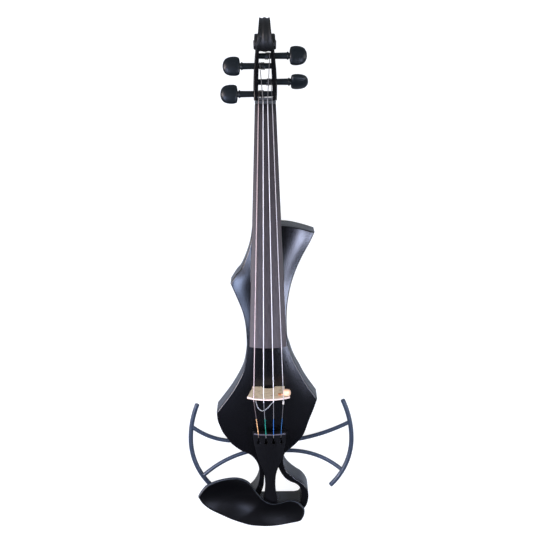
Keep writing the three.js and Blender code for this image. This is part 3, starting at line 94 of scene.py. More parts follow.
def bulge(value: float, power: float) -> float:
    """Return a sine or cosine raised to a power with its sign kept, which squares a round section."""
    return math.copysign(abs(value) ** power, value)


def along(table: Sequence[Row], share: float) -> float:
    """Read a table of [share, value] rows with a soft curve through its rows.

    Args:
        table: rows in rising order of share.
        share: where to read.

    Returns:
        The value there.
    """
    if share <= table[0][0]:
        return table[0][1]
    if share >= table[-1][0]:
        return table[-1][1]
    after = next(i for i, row in enumerate(table) if row[0] > share)
    (x1, y1), (x2, y2) = table[after - 1], table[after]
    x0, y0 = table[max(after - 2, 0)]
    x3, y3 = table[min(after + 1, len(table) - 1)]
    slope_in = (y2 - y0) / (x2 - x0)
    slope_out = (y3 - y1) / (x3 - x1)
    t = (share - x1) / (x2 - x1)
    span = x2 - x1
    rise = (2 * t**3 - 3 * t**2 + 1) * y1 + (3 * t**2 - 2 * t**3) * y2
    return rise + ((t**3 - 2 * t**2 + t) * slope_in + (t**3 - t**2) * slope_out) * span


def curve_points(points: Sequence[Vector], steps: int, closed: bool = False) -> list[Vector]:
    """Run one smooth curve through every point.

    Args:
        points: the points to pass through.
        steps: short runs for each span.
        closed: whether the last point joins the first.

    Returns:
        The points of the curve, the last one included when it is open.
    """
    count = len(points)
    result: list[Vector] = []
    for i in range(count if closed else count - 1):
        if closed:
            before, start, end, after = (points[(i + k) % count] for k in (-1, 0, 1, 2))
        else:
            before, start = points[max(i - 1, 0)], points[i]
            end, after = points[i + 1], points[min(i + 2, count - 1)]
        for step in range(steps):
            t = step / steps
            near = (end - before) / 2
            far = (after - start) / 2
            value = (2 * t**3 - 3 * t**2 + 1) * start + (t**3 - 2 * t**2 + t) * near
            result.append(value + (3 * t**2 - 2 * t**3) * end + (t**3 - t**2) * far)
    if not closed:
        result.append(points[-1].copy())
    return result


# Meshes


class Skin:
    """Points in millimetres and faces, gathered before they become an object."""

    def __init__(self) -> None:
        """Start with nothing."""
        self.points: list[Vector] = []
        self.faces: list[tuple[int, ...]] = []

    def ring(self, points: Sequence[Vector]) -> list[int]:
        """Add points and return their numbers."""
        start = len(self.points)
        self.points.extend(points)
        return list(range(start, start + len(points)))

    def join(self, first: Sequence[int], second: Sequence[int]) -> None:
        """Close the band between two rings of as many points."""
        count = len(first)
        for i in range(count):
            k = (i + 1) % count
            self.faces.append((first[i], first[k], second[k], second[i]))

    def cap(self, ring: Sequence[int]) -> None:
        """Close a ring with one fan about its middle."""
        middle = sum((self.points[i] for i in ring), Vector()) / len(ring)
        centre = self.ring([middle])[0]
        for i, point in enumerate(ring):
            self.faces.append((point, ring[(i + 1) % len(ring)], centre))

    def loft(self, rings: Sequence[Sequence[Vector]]) -> Skin:
        """Close a skin over rings of points, capped at both ends, and return the skin."""
        numbers = [self.ring(ring) for ring in rings]
        for first, second in zip(numbers, numbers[1:]):
            self.join(first, second)
        self.cap(numbers[0])
        self.cap(numbers[-1])
        return self

    def add(self, other: Skin) -> None:
        """Take in the points and faces of another skin."""
        start = len(self.points)
        self.points += other.points
        self.faces += [tuple(start + k for k in face) for face in other.faces]

    def move(self, matrix: Matrix) -> Skin:
        """Put every point through a matrix and return the skin."""
        self.points = [matrix @ point for point in self.points]
        return self

    def mesh(self, name: str) -> Mesh:
        """Turn the skin into a raw mesh in metres."""
        mesh = bpy.data.meshes.new(name)
        mesh.from_pydata([point * MM for point in self.points], [], self.faces)
        return mesh

    def make(self, name: str, sharp: float = 32.0) -> Object:
        """Turn the skin into an object in metres, with its faces pointing out.

        Args:
            name: the object's name.
            sharp: angle in degrees past which an edge stays crisp.

        Returns:
            The object.
        """
        return finish_mesh(self.mesh(name), name, sharp)


def show(name: str, data: bpy.types.ID) -> Object:
    """Put a new object with a mesh, a lamp or a camera in the scene, and return it."""
    obj = bpy.data.objects.new(name, data)
    bpy.context.scene.collection.objects.link(obj)
    return obj


def finish_mesh(mesh: Mesh, name: str, sharp: float) -> Object:
    """Weld, turn outwards and shade a mesh, and put it in the scene as an object.

    Args:
        mesh: the raw mesh, in metres.
        name: the object's name.
        sharp: angle in degrees past which an edge stays crisp.

    Returns:
        The object.
    """
    work = bmesh.new()
    work.from_mesh(mesh)
    bmesh.ops.remove_doubles(work, verts=work.verts, dist=WELD)
    bmesh.ops.dissolve_degenerate(work, edges=work.edges, dist=WELD)
    bmesh.ops.recalc_face_normals(work, faces=work.faces)
    if work.calc_volume(signed=True) < 0:
        bmesh.ops.reverse_faces(work, faces=work.faces)
    work.to_mesh(mesh)
    work.free()
    shade(mesh, sharp)
    return show(name, mesh)


def shade(mesh: Mesh, sharp: float) -> None:
    """Shade a mesh smooth, with crisp edges past an angle in degrees."""
    mesh.polygons.foreach_set("use_smooth", [True] * len(mesh.polygons))
    mesh.set_sharp_from_angle(angle=math.radians(sharp))
    mesh.update()


def bake(obj: Object) -> Object:
    """Turn an object with its modifiers into a plain mesh of the same name."""
    depsgraph = bpy.context.evaluated_depsgraph_get()
    mesh = bpy.data.meshes.new_from_object(obj.evaluated_get(depsgraph), depsgraph=depsgraph)
    obj.modifiers.clear()
    obj.data = mesh
    return obj


def soften(obj: Object, width: float, segments: int = 2, angle: float = 32.0) -> Object:
    """Round the crisp edges of an object.

    Args:
        obj: the object.
        width: width of the rounding in millimetres.
        segments: faces across the rounding.
        angle: least angle in degrees of an edge that is rounded.

    Returns:
        The same object.
    """
    bevel = obj.modifiers.new("rounding", "BEVEL")
    bevel.width = width * MM
    bevel.segments = segments
    bevel.limit_method = "ANGLE"
    bevel.angle_limit = math.radians(angle)
    bevel.harden_normals = True
    bevel.miter_outer = "MITER_ARC"
    return bake(obj)


def carve(obj: Object, cutters: Sequence[Object]) -> Object:
    """Cut closed objects out of another one, and remove them.

    Args:
        obj: the object that is cut.
        cutters: what is cut away.

    Returns:
        The cut object.
    """
    for cutter in cutters:
        boolean = obj.modifiers.new("cut", "BOOLEAN")
        boolean.operation = "DIFFERENCE"
        boolean.solver = "EXACT"
        boolean.object = cutter
    bake(obj)
    for cutter in cutters:
        bpy.data.objects.remove(cutter)
    shade(obj.data, 40.0)
    return obj


def block(name: str, low: Sequence[float], high: Sequence[float]) -> Object:
    """Make a closed box between two corners.

    Args:
        name: the object's name.
        low: the corner with the least places, in millimetres.
        high: the corner with the greatest places.

    Returns:
        The object.
    """
    corners = ((low[0], low[1]), (high[0], low[1]), (high[0], high[1]), (low[0], high[1]))
    return Skin().loft([[Vector((x, y, z)) for x, y in corners] for z in (low[2], high[2])]).make(name)


def round_point(radius: float, share: float, height: float = 0.0) -> Vector:
    """Return a point on a level circle at a share of a full turn."""
    return Vector((radius * math.cos(math.tau * share), radius * math.sin(math.tau * share), height))


def rod(name: str, start: Sequence[float], end: Sequence[float], radius: float, sides: int = 40) -> Object:
    """Make a round bar between two points, in millimetres.

    Args:
        name: the object's name.
        start: one end.
        end: the other end.
        radius: the bar's radius.
        sides: faces around it.

    Returns:
        The object.
    """
    turn = (Vector(end) - Vector(start)).to_track_quat("Z", "Y").to_matrix()
    section = [turn @ round_point(radius, k / sides) for k in range(sides)]
    return Skin().loft([[Vector(place) + point for point in section] for place in (start, end)]).make(name)


def lathe(profile: Sequence[Row], sides: int = 48) -> Skin:
    """Turn a profile of [radius, height] rows about Z.

    Args:
        profile: rows from one end to the other, each off the axis.
        sides: faces around.

    Returns:
        The skin, closed at both ends, with the axis along Z.
    """
    return Skin().loft([[round_point(radius, k / sides, z) for k in range(sides)] for radius, z in profile])


# Flat outlines with raised faces


class Outline:
    """A closed shape in the XY plane with holes, for the body's slabs and the bridge."""

    def __init__(self, loops: Sequence[Sequence[Vector]]) -> None:
        """Keep the loops, the outer one first.

        Args:
            loops: closed runs of points, with no point twice.
        """
        self.loops = [self.turned(list(loop), i == 0) for i, loop in enumerate(loops)]

    @staticmethod
    def turned(loop: list[Vector], outer: bool) -> list[Vector]:
        """Return the loop running left about the material: the outer one so, a hole the other way."""
        area = sum(a.x * b.y - b.x * a.y for a, b in zip(loop, loop[1:] + loop[:1]))
        return loop if (area > 0) == outer else loop[::-1]

    def inside(self, x: float, y: float) -> bool:
        """Say whether a place is in the material."""
        odd = False
        for loop in self.loops:
            for a, b in zip(loop, loop[1:] + loop[:1]):
                if (a.y > y) != (b.y > y) and x < (b.x - a.x) * (y - a.y) / (b.y - a.y) + a.x:
                    odd = not odd
        return odd

    def span(self, y: float) -> Row:
        """Return the leftmost and rightmost edge at a place along the body."""
        loop = self.loops[0]
        hits = [
            mix(a.x, b.x, (y - a.y) / (b.y - a.y))
            for a, b in zip(loop, loop[1:] + loop[:1])
            if (a.y - y) * (b.y - y) <= 0 and a.y != b.y
        ]
        return min(hits), max(hits)

    def inset(self, distance: float) -> list[list[Vector]]:
        """Return the loops drawn in by a distance, mitred at the corners.

        Args:
            distance: how far they are drawn in.

        Returns:
            The new loops.
        """
        result = []
        for loop in self.loops:
            moved = []
            for before, point, after in zip(loop[-1:] + loop[:-1], loop, loop[1:] + loop[:1]):
                run_in = (point - before).normalized()
                run_out = (after - point).normalized()
                normal = Vector((-run_in.y - run_out.y, run_in.x + run_out.x, 0))
                normal.normalize()
                reach = max(normal.dot(Vector((-run_in.y, run_in.x, 0))), CORNER_LIMIT)
                moved.append(point + normal * (distance / reach))
            result.append(moved)
        return result

    def fill(self, skin: Skin, rings: Sequence[Sequence[int]], height: Height, spacing: float) -> None:
        """Close the loops with triangles over a grid of points.

        Args:
            skin: the skin that holds the rings.
            rings: the numbers of the loops' points in the skin.
            height: height of the face at a place.
            spacing: distance between the grid's points, or 0 for none.
        """
        flat = [skin.points[i].to_2d() for ring in rings for i in ring]
        numbers = [i for ring in rings for i in ring]
        edges = []
        start = 0
        for ring in rings:
            edges += [(start + i, start + (i + 1) % len(ring)) for i in range(len(ring))]
            start += len(ring)
        if spacing:
            for x, y in self.grid(flat, spacing):
                flat.append(Vector((x, y)))
                numbers += skin.ring([Vector((x, y, height(x, y)))])
        corners, _, faces, sources, *_ = delaunay_2d_cdt(flat, edges, [], 0, WELD)
        rim = Outline([[skin.points[i] for i in ring] for ring in rings])
        places = []
        for corner, source in zip(corners, sources):
            if source:
                places.append(numbers[source[0]])
            else:
                places += skin.ring([Vector((corner.x, corner.y, height(corner.x, corner.y)))])
        for face in faces:
            middle = sum((corners[i] for i in face), Vector((0, 0))) / len(face)
            if rim.inside(middle.x, middle.y):
                skin.faces.append(tuple(places[i] for i in face))

    def grid(self, flat: Sequence[Vector], spacing: float) -> list[Row]:
        """Return places on a grid that are well inside the material.

        Args:
            flat: the loops' points.
            spacing: distance between the places.

        Returns:
            The places.
        """
        low_x, high_x = min(p.x for p in flat), max(p.x for p in flat)
        low_y, high_y = min(p.y for p in flat), max(p.y for p in flat)
        clear = spacing * GRID_CLEARANCE
        places = []
        for row in range(int((high_y - low_y) / spacing) + 1):
            y = low_y + (row + GRID_CLEARANCE) * spacing
            for column in range(int((high_x - low_x) / spacing) + 1):
                x = low_x + (column + GRID_CLEARANCE * (row % 2)) * spacing
                near = ((0, 0), (clear, 0), (-clear, 0), (0, clear), (0, -clear))
                if all(self.inside(x + dx, y + dy) for dx, dy in near):
                    places.append((x, y))
        return places

    def slab(
        self, low: float, height: Height, rims: Sequence[Row], base_rims: Sequence[Row], spacing: float,
    ) -> Skin:
        """Raise the outline into a slab with rounded rims.

        Args:
            low: height of the flat underside.
            height: height of the upper face at a place.
            rims: rows of inset and drop that round the upper rim, from the wall inwards.
            base_rims: rows of inset and rise that round the lower rim, from the wall inwards.
            spacing: distance between the points of the upper face.

        Returns:
            The closed skin.
        """
        skin = Skin()
        levels = [(inset, lambda _x, _y, rise=rise: low + rise) for inset, rise in reversed(base_rims)]
        levels += [(inset, lambda x, y, drop=drop: height(x, y) - drop) for inset, drop in rims]
        stacks = []
        for inset, level in levels:
            loops = self.inset(inset)
            stacks.append([skin.ring([Vector((p.x, p.y, level(p.x, p.y))) for p in loop]) for loop in loops])
        for lower, upper in zip(stacks, stacks[1:]):
            for first, second in zip(lower, upper):
                skin.join(first, second)
        self.fill(skin, stacks[0], lambda _x, _y: low, 0)
        self.fill(skin, stacks[-1], height, spacing)
        return skin



# Node trees


def wire(tree: NodeTree, node: Node, links: dict) -> None:
    """Feed the inputs of a node.

    Args:
        tree: the node tree.
        node: the node.
        links: input name or number to a socket, a node for its first output, or a plain value.
    """
    for key, value in links.items():
        if isinstance(value, Node):
            value = value.outputs[0]
        if isinstance(value, NodeSocket):
            tree.links.new(value, node.inputs[key])
        else:
            node.inputs[key].default_value = value


def add_node(tree: NodeTree, kind: str, links: dict | None = None, **settings: object) -> Node:
    """Add a node with its settings and links.

    Args:
        tree: the node tree.
        kind: the node's type name.
        links: what feeds its inputs, as for wire.
        **settings: the node's own settings.

    Returns:
        The node.
    """
    node = tree.nodes.new(kind)
    for key, value in settings.items():
        setattr(node, key, value)
    wire(tree, node, links or {})
    return node


def rgba(node: Node) -> NodeSocket:
    """Return the colour socket of a colour mix."""
    return next(socket for socket in node.outputs if socket.type == "RGBA")


def first_node(tree: NodeTree, kind: str) -> Node:
    """Return the node of one kind that a new tree already holds."""
    return next(node for node in tree.nodes if node.type == kind)


class RopeWork:
    """Round tubes along paths, made by one geometry node tree with named sizes."""

    def __init__(self) -> None:
        """Build the tree."""
        tree = bpy.data.node_groups.new("tube along path", "GeometryNodeTree")
        face = tree.interface
        sockets = {"Path": "Geometry", "Radius": "Float", "Sides": "Int", "Finish": "Material"}
        for label, kind in sockets.items():
            face.new_socket(label, in_out="INPUT", socket_type=f"NodeSocket{kind}")
        face.new_socket("Tube", in_out="OUTPUT", socket_type="NodeSocketGeometry")
        given = add_node(tree, "NodeGroupInput").outputs
        path = add_node(tree, "GeometryNodeMeshToCurve", {"Mesh": given["Path"]})
        ring = add_node(tree, "GeometryNodeCurvePrimitiveCircle", {
            "Resolution": given["Sides"], "Radius": given["Radius"]})
        tube = add_node(tree, "GeometryNodeCurveToMesh", {
            "Curve": path, "Profile Curve": ring, "Fill Caps": True})
        real = add_node(tree, "GeometryNodeRealizeInstances", {"Geometry": tube})
        dressed = add_node(tree, "GeometryNodeSetMaterial", {"Geometry": real, "Material": given["Finish"]})
        add_node(tree, "NodeGroupOutput", {"Tube": dressed})
        self.tree = tree
        self.keys = {item.name: item.identifier for item in face.items_tree if item.in_out == "INPUT"}

    def tube(self, name: str, path: Sequence[Vector], radius: float, finish: str, sides: int) -> Object:
        """Sweep a round section along a path.

        Args:
            name: the object's name.
            path: points of the middle line, in millimetres.
            radius: the section's radius in millimetres.
            finish: the tube's finish.
            sides: points around the section.

        Returns:
            The tube as a plain mesh.
        """
        line = bpy.data.meshes.new(name)
        line.from_pydata([point * MM for point in path], [(i, i + 1) for i in range(len(path) - 1)], [])
        obj = show(name, line)
        modifier = obj.modifiers.new("tube", "NODES")
        modifier.node_group = self.tree
        modifier[self.keys["Radius"]] = radius * MM
        modifier[self.keys["Sides"]] = sides
        modifier[self.keys["Finish"]] = MATERIALS[finish]
        mesh = bake(obj).data
        bpy.data.objects.remove(obj)
        return finish_mesh(mesh, name, 50.0)


# Finishes


def linear(code: str) -> tuple[float, float, float, float]:
    """Turn six hex digits of an sRGB colour into linear red, green, blue and full alpha."""
    values = [int(code[i : i + 2], 16) / 255 for i in (0, 2, 4)]
    red, green, blue = (v / 12.92 if v <= 0.04045 else ((v + 0.055) / 1.055) ** 2.4 for v in values)
    return red, green, blue, 1.0


@dataclass(frozen=True)
class Finish:
    """What a surface is made of, and the small pattern it shows.

    Sizes of patterns are in millimetres. Grain runs along Y where it is stretched.
    """

    name: str
    colour: str
    second: str
    roughness: float
    roughness_spread: float = 0.05
    metallic: float = 0.0
    grain: float = 0.4
    stretch: Triple = (1.0, 1.0, 1.0)
    contrast: float = 0.5
    bump: float = 0.05
    bump_depth: float = 0.05
    coat: float = 0.0
    coat_roughness: float = 0.1
    specular: float = 0.5

    def build(self) -> Material:
        """Make the material: one shader, fed by a pattern on object coordinates.

        Returns:
            The material.
        """
        material = bpy.data.materials.new(self.name)
        material.use_nodes = True
        tree = material.node_tree
        place = add_node(tree, "ShaderNodeTexCoord").outputs["Object"]
        scaled = add_node(tree, "ShaderNodeMapping", {"Vector": place, "Scale": self.stretch})
        noise = add_node(tree, "ShaderNodeTexNoise", {
            "Vector": scaled, "Scale": 1 / (self.grain * MM), "Detail": 4.0, "Roughness": 0.6})
        ramp = add_node(tree, "ShaderNodeValToRGB", {"Fac": noise})
        for element, side, code in zip(ramp.color_ramp.elements, (-1, 1), (self.colour, self.second)):
            element.position = 0.5 + side * self.contrast / 2
            element.color = linear(code)
        wire(tree, first_node(tree, "BSDF_PRINCIPLED"), {
            "Metallic": self.metallic, "Coat Weight": self.coat, "Coat Roughness": self.coat_roughness,
            "Specular IOR Level": self.specular, **self.surface(tree, place, ramp, noise)})
        return material

    def surface(self, tree: NodeTree, place: NodeSocket, ramp: Node, noise: Node) -> dict:
        """Lead the pattern to colour, roughness and bump.

        Args:
            tree: the material's tree.
            place: object coordinates.
            ramp: the pattern in the two colours.
            noise: the bare pattern.

        Returns:
            What feeds the shader's inputs.
        """
        rough = add_node(tree, "ShaderNodeMapRange", {
            "Value": noise, "To Min": self.roughness - self.roughness_spread,
            "To Max": self.roughness + self.roughness_spread})
        return {
            "Base Color": self.tint(tree, place, ramp), "Roughness": rough,
            "Normal": self.raised(tree, noise)}

    def raised(self, tree: NodeTree, height: Node) -> Node:
        """Return the bump that a pattern raises."""
        return add_node(tree, "ShaderNodeBump", {
            "Height": height, "Strength": self.bump, "Distance": self.bump_depth * MM})

    def tint(self, tree: NodeTree, place: NodeSocket, ramp: Node) -> Node | NodeSocket:
        """Return what colours the surface: here the pattern's two colours as they are."""
        return ramp


@dataclass(frozen=True)
class BoardEbony(Finish):
    """Planed ebony, darkened by painted shade next to the nut and paler towards its free end."""

    # Painted shade next to the nut is full at the first place and gone by the second; the third is the
    # board's free end
    nut_shade_from: float = 322.0
    nut_shade_to: float = 309.0
    free_end: float = 58.0
    # Share of the colour left under the painted shade
    nut_shade_share: float = 0.12
    # Colour shares near the nut and at the free end, between which the board grows paler
    nut_end_share: float = 0.75
    free_end_share: float = 2.3

    def tint(self, tree: NodeTree, place: NodeSocket, ramp: Node) -> Node:
        """Darken the pattern's colours with painted shade next to the nut, lift them towards the free end,
        and return the result.
        """
        y = add_node(tree, "ShaderNodeSeparateXYZ", {"Vector": place}).outputs["Y"]
        # Painted shade next to the nut
        edge = add_node(tree, "ShaderNodeMapRange", {
            "Value": y, "From Min": self.nut_shade_to * MM, "From Max": self.nut_shade_from * MM,
            "To Min": 1.0, "To Max": self.nut_shade_share}, interpolation_type="SMOOTHSTEP")
        # Paler towards the free end
        paling = add_node(tree, "ShaderNodeMapRange", {
            "Value": y, "From Min": self.free_end * MM, "From Max": self.nut_shade_to * MM,
            "To Min": self.free_end_share, "To Max": self.nut_end_share})
        both = add_node(tree, "ShaderNodeMath", {0: edge, 1: paling}, operation="MULTIPLY")
        return add_node(tree, "ShaderNodeVectorMath", {0: ramp, "Scale": both}, operation="SCALE")


@dataclass(frozen=True)
class BridgeMaple(Finish):
    """Raw quarter-cut maple: cream, with short dark flecks and a painted highlight in a pale band along the
    crown.
    """

    fleck: str = "9c7f62"
    # Colour of the painted highlight along the crown
    crown: str = "dcc6be"
    fleck_size: float = 1.6
    fleck_stretch: Triple = (0.35, 1.0, 1.0)
    fleck_from: float = 0.54
    fleck_to: float = 0.66
    fleck_share: float = 0.7
    # Heights at the middle between which the painted highlight fades in, and the radius of the crown's curve
    # that it follows
    highlight_low: float = 69.2
    highlight_high: float = 70.8
    crown_radius: float = 42.0

    def tint(self, tree: NodeTree, place: NodeSocket, ramp: Node) -> NodeSocket:
        """Lay flecks over the pattern and a painted highlight along the crown over both, and return the
        colour.
        """
        flat = add_node(tree, "ShaderNodeMapping", {"Vector": place, "Scale": self.fleck_stretch})
        flecks = add_node(tree, "ShaderNodeTexNoise", {
            "Vector": flat, "Scale": 1 / (self.fleck_size * MM), "Detail": 3.0})
        spots = add_node(tree, "ShaderNodeMapRange", {
            "Value": flecks, "From Min": self.fleck_from, "From Max": self.fleck_to,
            "To Max": self.fleck_share})
        marked = add_node(tree, "ShaderNodeMix", {
            "Factor": spots, "A": ramp, "B": linear(self.fleck)}, data_type="RGBA")
        parts = add_node(tree, "ShaderNodeSeparateXYZ", {"Vector": place}).outputs
        bend = add_node(tree, "ShaderNodeMath", {0: parts["X"], 1: parts["X"]}, operation="MULTIPLY")
        fall = add_node(tree, "ShaderNodeMath", {
            0: bend, 1: 1 / (2 * self.crown_radius * MM), 2: parts["Z"]}, operation="MULTIPLY_ADD")
        # The painted highlight along the crown, following its curve
        top = add_node(tree, "ShaderNodeMapRange", {
            "Value": fall, "From Min": self.highlight_low * MM, "From Max": self.highlight_high * MM})
        return rgba(add_node(tree, "ShaderNodeMix", {
            "Factor": top, "A": rgba(marked), "B": linear(self.crown)}, data_type="RGBA"))


@dataclass(frozen=True)
class RimHighlight(Finish):
    """A dark moulding with a painted highlight along its rim, where the attribute rim is above 0."""

    # Colour of the painted highlight on the rim
    rubbed: str = "4c535e"

    def tint(self, tree: NodeTree, place: NodeSocket, ramp: Node) -> NodeSocket:
        """Lay the painted highlight's colour over the pattern along the rim, and return the colour."""
        rim = add_node(tree, "ShaderNodeAttribute", attribute_name="rim")
        return rgba(add_node(tree, "ShaderNodeMix", {
            "Factor": rim.outputs["Fac"], "A": ramp, "B": linear(self.rubbed)}, data_type="RGBA"))


@dataclass(frozen=True)
class WoundString(Finish):
    """Metal string, bright over the board, darkened by painted shade in the pegbox past the nut and behind
    the bridge, with a silk end.
    """

    silk: str = "2f6fc0"
    silk_roughness: float = 0.8
    silk_start: float = -25.0
    silk_end: float = -47.2
    # Painted shade in the pegbox past the nut: where it starts, where it is full, and the share of brightness
    # left
    pegbox_shade_from: float = 320.0
    pegbox_shade_to: float = 331.0
    pegbox_shade_share: float = 0.16
    # Painted shade behind the bridge: where it starts, where it is full, and the share of brightness left
    behind_from: float = -1.0
    behind_to: float = -3.0
    behind_share: float = 0.24
    pitch: float = 0.9

    def surface(self, tree: NodeTree, place: NodeSocket, ramp: Node, noise: Node) -> dict:
        """Wind the metal, darken its ends with painted shade and cover the silk's length.

        Args:
            tree: the material's tree.
            place: object coordinates.
            ramp: the pattern in the two colours.
            noise: the bare pattern, which the turns take the place of; not used.

        Returns:
            What feeds the shader's inputs.
        """
        y = add_node(tree, "ShaderNodeSeparateXYZ", {"Vector": place}).outputs["Y"]
        turn = add_node(tree, "ShaderNodeMath", {0: y, 1: math.tau / (self.pitch * MM)}, operation="MULTIPLY")
        wave = add_node(tree, "ShaderNodeMath", {0: turn}, operation="SINE")
        near = add_node(tree, "ShaderNodeMath", {0: y, 1: self.silk_end * MM}, operation="GREATER_THAN")
        far = add_node(tree, "ShaderNodeMath", {0: y, 1: self.silk_start * MM}, operation="LESS_THAN")
        mask = add_node(tree, "ShaderNodeMath", {0: near, 1: far}, operation="MULTIPLY")
        # Painted shade in the pegbox past the nut
        pegbox_shade = add_node(tree, "ShaderNodeMapRange", {
            "Value": y, "From Min": self.pegbox_shade_from * MM, "From Max": self.pegbox_shade_to * MM,
            "To Min": 1.0, "To Max": self.pegbox_shade_share})
        # Painted shade behind the bridge
        behind = add_node(tree, "ShaderNodeMapRange", {
            "Value": y, "From Min": self.behind_to * MM, "From Max": self.behind_from * MM,
            "To Min": self.behind_share, "To Max": 1.0})
        # Brightness left under both painted shades
        bright = add_node(tree, "ShaderNodeMath", {0: pegbox_shade, 1: behind}, operation="MULTIPLY")
        toned = add_node(tree, "ShaderNodeVectorMath", {0: ramp, "Scale": bright}, operation="SCALE")
        both = add_node(tree, "ShaderNodeMix", {
            "Factor": mask, "A": toned, "B": linear(self.silk)}, data_type="RGBA")
        metal = add_node(tree, "ShaderNodeMapRange", {"Value": mask, "To Min": self.metallic, "To Max": 0.0})
        rough = add_node(tree, "ShaderNodeMapRange", {
            "Value": mask, "To Min": self.roughness, "To Max": self.silk_roughness})
        return {
            "Base Color": rgba(both), "Metallic": metal, "Roughness": rough,
            "Normal": self.raised(tree, wave)}


class StringTone(Enum):
    """Each string's silk, the dark and bright tone of its metal, and how metallic it looks."""

    G = ("dcaa7a", "b9a5a9", "dcc9cb", 0.3)
    D = ("1b8b7c", "d6d6de", "f2f2f8", 0.15)
    A = ("2460ad", "d6d6de", "f2f2f8", 0.15)
    E = ("275d96", "b4b2bb", "d8d6de", 0.4)

    def finish(self) -> WoundString:
        """Return the flat-wound ribbon, or the bare tinned steel of the highest string."""
        silk, dark, bright, metallic = self.value
        return WoundString(
            f"string wire {self.name.lower()}", dark, bright, 0.34, 0.05, metallic, grain=0.8, bump=0.4,
            bump_depth=0.06, silk=silk)


FINISHES: dict[str, Finish] = {
    # Sprayed satin lacquer over wood: near black, with the faint orange peel of a spray gun.
    "lacquer": Finish(
        "satin black lacquer", "050507", "0a0a0d", 0.24, 0.03, grain=1.4, contrast=0.6,
        bump_depth=0.04, coat=0.15, coat_roughness=0.2),
    # The same lacquer, rubbed dull by hand on the carved scroll.
    "scroll": Finish(
        "rubbed black lacquer", "0d0e10", "16181a", 0.46, 0.04, grain=1.4, contrast=0.6,
        bump_depth=0.04, specular=0.4),
    # Turned and carved ebonised wood: a soft sheen.
    "peg": Finish(
        "ebonised peg wood", "0a0f13", "12181d", 0.36, grain=0.5, stretch=(0.2, 1.0, 1.0),
        bump=0.12, specular=0.36),
    # Planed and oiled ebony: dark grey-brown, matt, with long fine pores, darkened by painted shade next to
    # the nut and paler towards its free end.
    "board": BoardEbony(
        "oiled ebony board", "191619", "2f2a2e", 0.5, 0.06, grain=0.7, stretch=(1.0, 0.05, 1.0),
        contrast=0.55, bump=0.25, bump_depth=0.06, specular=0.45),
    # Turned ebony of the button and saddle: dark grey, with short pores along the grain.
    "trim": Finish(
        "ebony trim", "17161a", "26242a", 0.4, grain=0.5, stretch=(1.0, 0.1, 1.0), bump=0.15),
    # Raw maple, cut on the quarter, sanded but not varnished, with a painted highlight along its crown.
    "maple": BridgeMaple(
        "raw bridge maple", "e2d4bc", "ceb899", 0.6, grain=0.9, stretch=(0.15, 1.0, 1.0), contrast=0.6,
        bump=0.2),
    # Polished bone: off-white grey with a faint cloud.
    "bone": Finish("polished bone", "b9b6b4", "d2cfca", 0.35, grain=2.0, coat=0.3),
    # Graphite-filled nut blank, filed and polished on its crown: slate grey.
    "nut": Finish("filed graphite nut", "2c3034", "3c4146", 0.42, grain=0.8, specular=0.25),
    # Moulded ebonite, tumbled to a soft satin that hardly mirrors: deepest black, with a painted highlight
    # along its rim.
    "chin": RimHighlight(
        "satin black ebonite", "030304", "070709", 0.38, 0.04, grain=0.6, contrast=0.6, bump=0.06,
        specular=0.28),
    # Drawn and polished steel: pale grey, with fine draw lines.
    "steel": Finish(
        "polished steel", "b4b8be", "cfd2d6", 0.26, 0.05, 1.0, grain=0.5, stretch=(1.0, 0.1, 1.0), bump=0.06),
    # Bright steel of the turns on the pegs, in the cheeks' shade: a dark, dull grey.
    "wire": Finish("wire turns", "3a3c40", "5c5f64", 0.45, 0.05, 0.8, grain=0.6, bump=0.1),
    # Nickel plate on turned brass parts: warmer and brighter than steel.
    "nickel": Finish("nickel plate", "c9c5bd", "dbd8d0", 0.2, 0.04, 1.0, grain=0.8, bump=0.04),
    # Baked metallic paint on bent tube: dark blue-grey, satin.
    "tube": Finish(
        "blue-grey tube paint", "273040", "384355", 0.38, 0.05, 0.25, grain=0.35, bump=0.08,
        bump_depth=0.03, coat=0.25, coat_roughness=0.25),
    # Moulded black ABS with a fine spark-eroded texture.
    "abs": Finish(
        "moulded black ABS", "101113", "191a1d", 0.48, 0.06, grain=0.3, contrast=0.6, bump=0.25,
        bump_depth=0.04),
    # Moulded tailpiece with a thin clear coat: black, with a soft shine along its length.
    "tail": Finish(
        "satin black tailpiece", "060608", "0c0c0f", 0.32, 0.04, grain=0.5, stretch=(1.0, 0.15, 1.0),
        bump=0.08, coat=0.2, coat_roughness=0.3),
    # Brushed and darkened metal of the tailpiece's fret: mid grey, a little violet.
    "fret": Finish("dark fret metal", "5d5a66", "75727e", 0.35, 0.05, 0.6),
    # Extruded sheath of the pickup's thin lead: even grey, half matt.
    "lead": Finish("grey lead sheath", "8d8f93", "a5a7ab", 0.45),
    # Pressed and fired piezo ceramic: pale orange, slightly speckled.
    "ceramic": Finish("fired pickup ceramic", "ecb894", "f6d0b2", 0.45, grain=0.6, bump=0.1),
    # Moulded clip on the pickup's tab: a deeper, smooth orange.
    "clip": Finish("orange clip", "b8714a", "cc8a5e", 0.4, grain=0.5),
    # Pressed cork sheet: tan granules of about a millimetre with dark gaps.
    "cork": Finish(
        "pressed cork", "8a6239", "c09767", 0.85, grain=0.9, contrast=0.3, bump=0.5, bump_depth=0.15),
    # Solder mask on glass fibre: clear dark green with a thin shine.
    "green": Finish("green circuit board", "17492c", "1f5e39", 0.35, grain=1.5, bump=0.04, coat=0.3),
    # Printed metal shell of the battery: dark grey with a dull metal glint.
    "foil": Finish("dark battery foil", "2d2f34", "3b3e45", 0.3, 0.05, 0.7, grain=0.8, bump=0.04),
    **{f"string_{tone.name.lower()}": tone.finish() for tone in StringTone},
}
MATERIALS: dict[str, Material] = {}


# The instrument's shared sizes


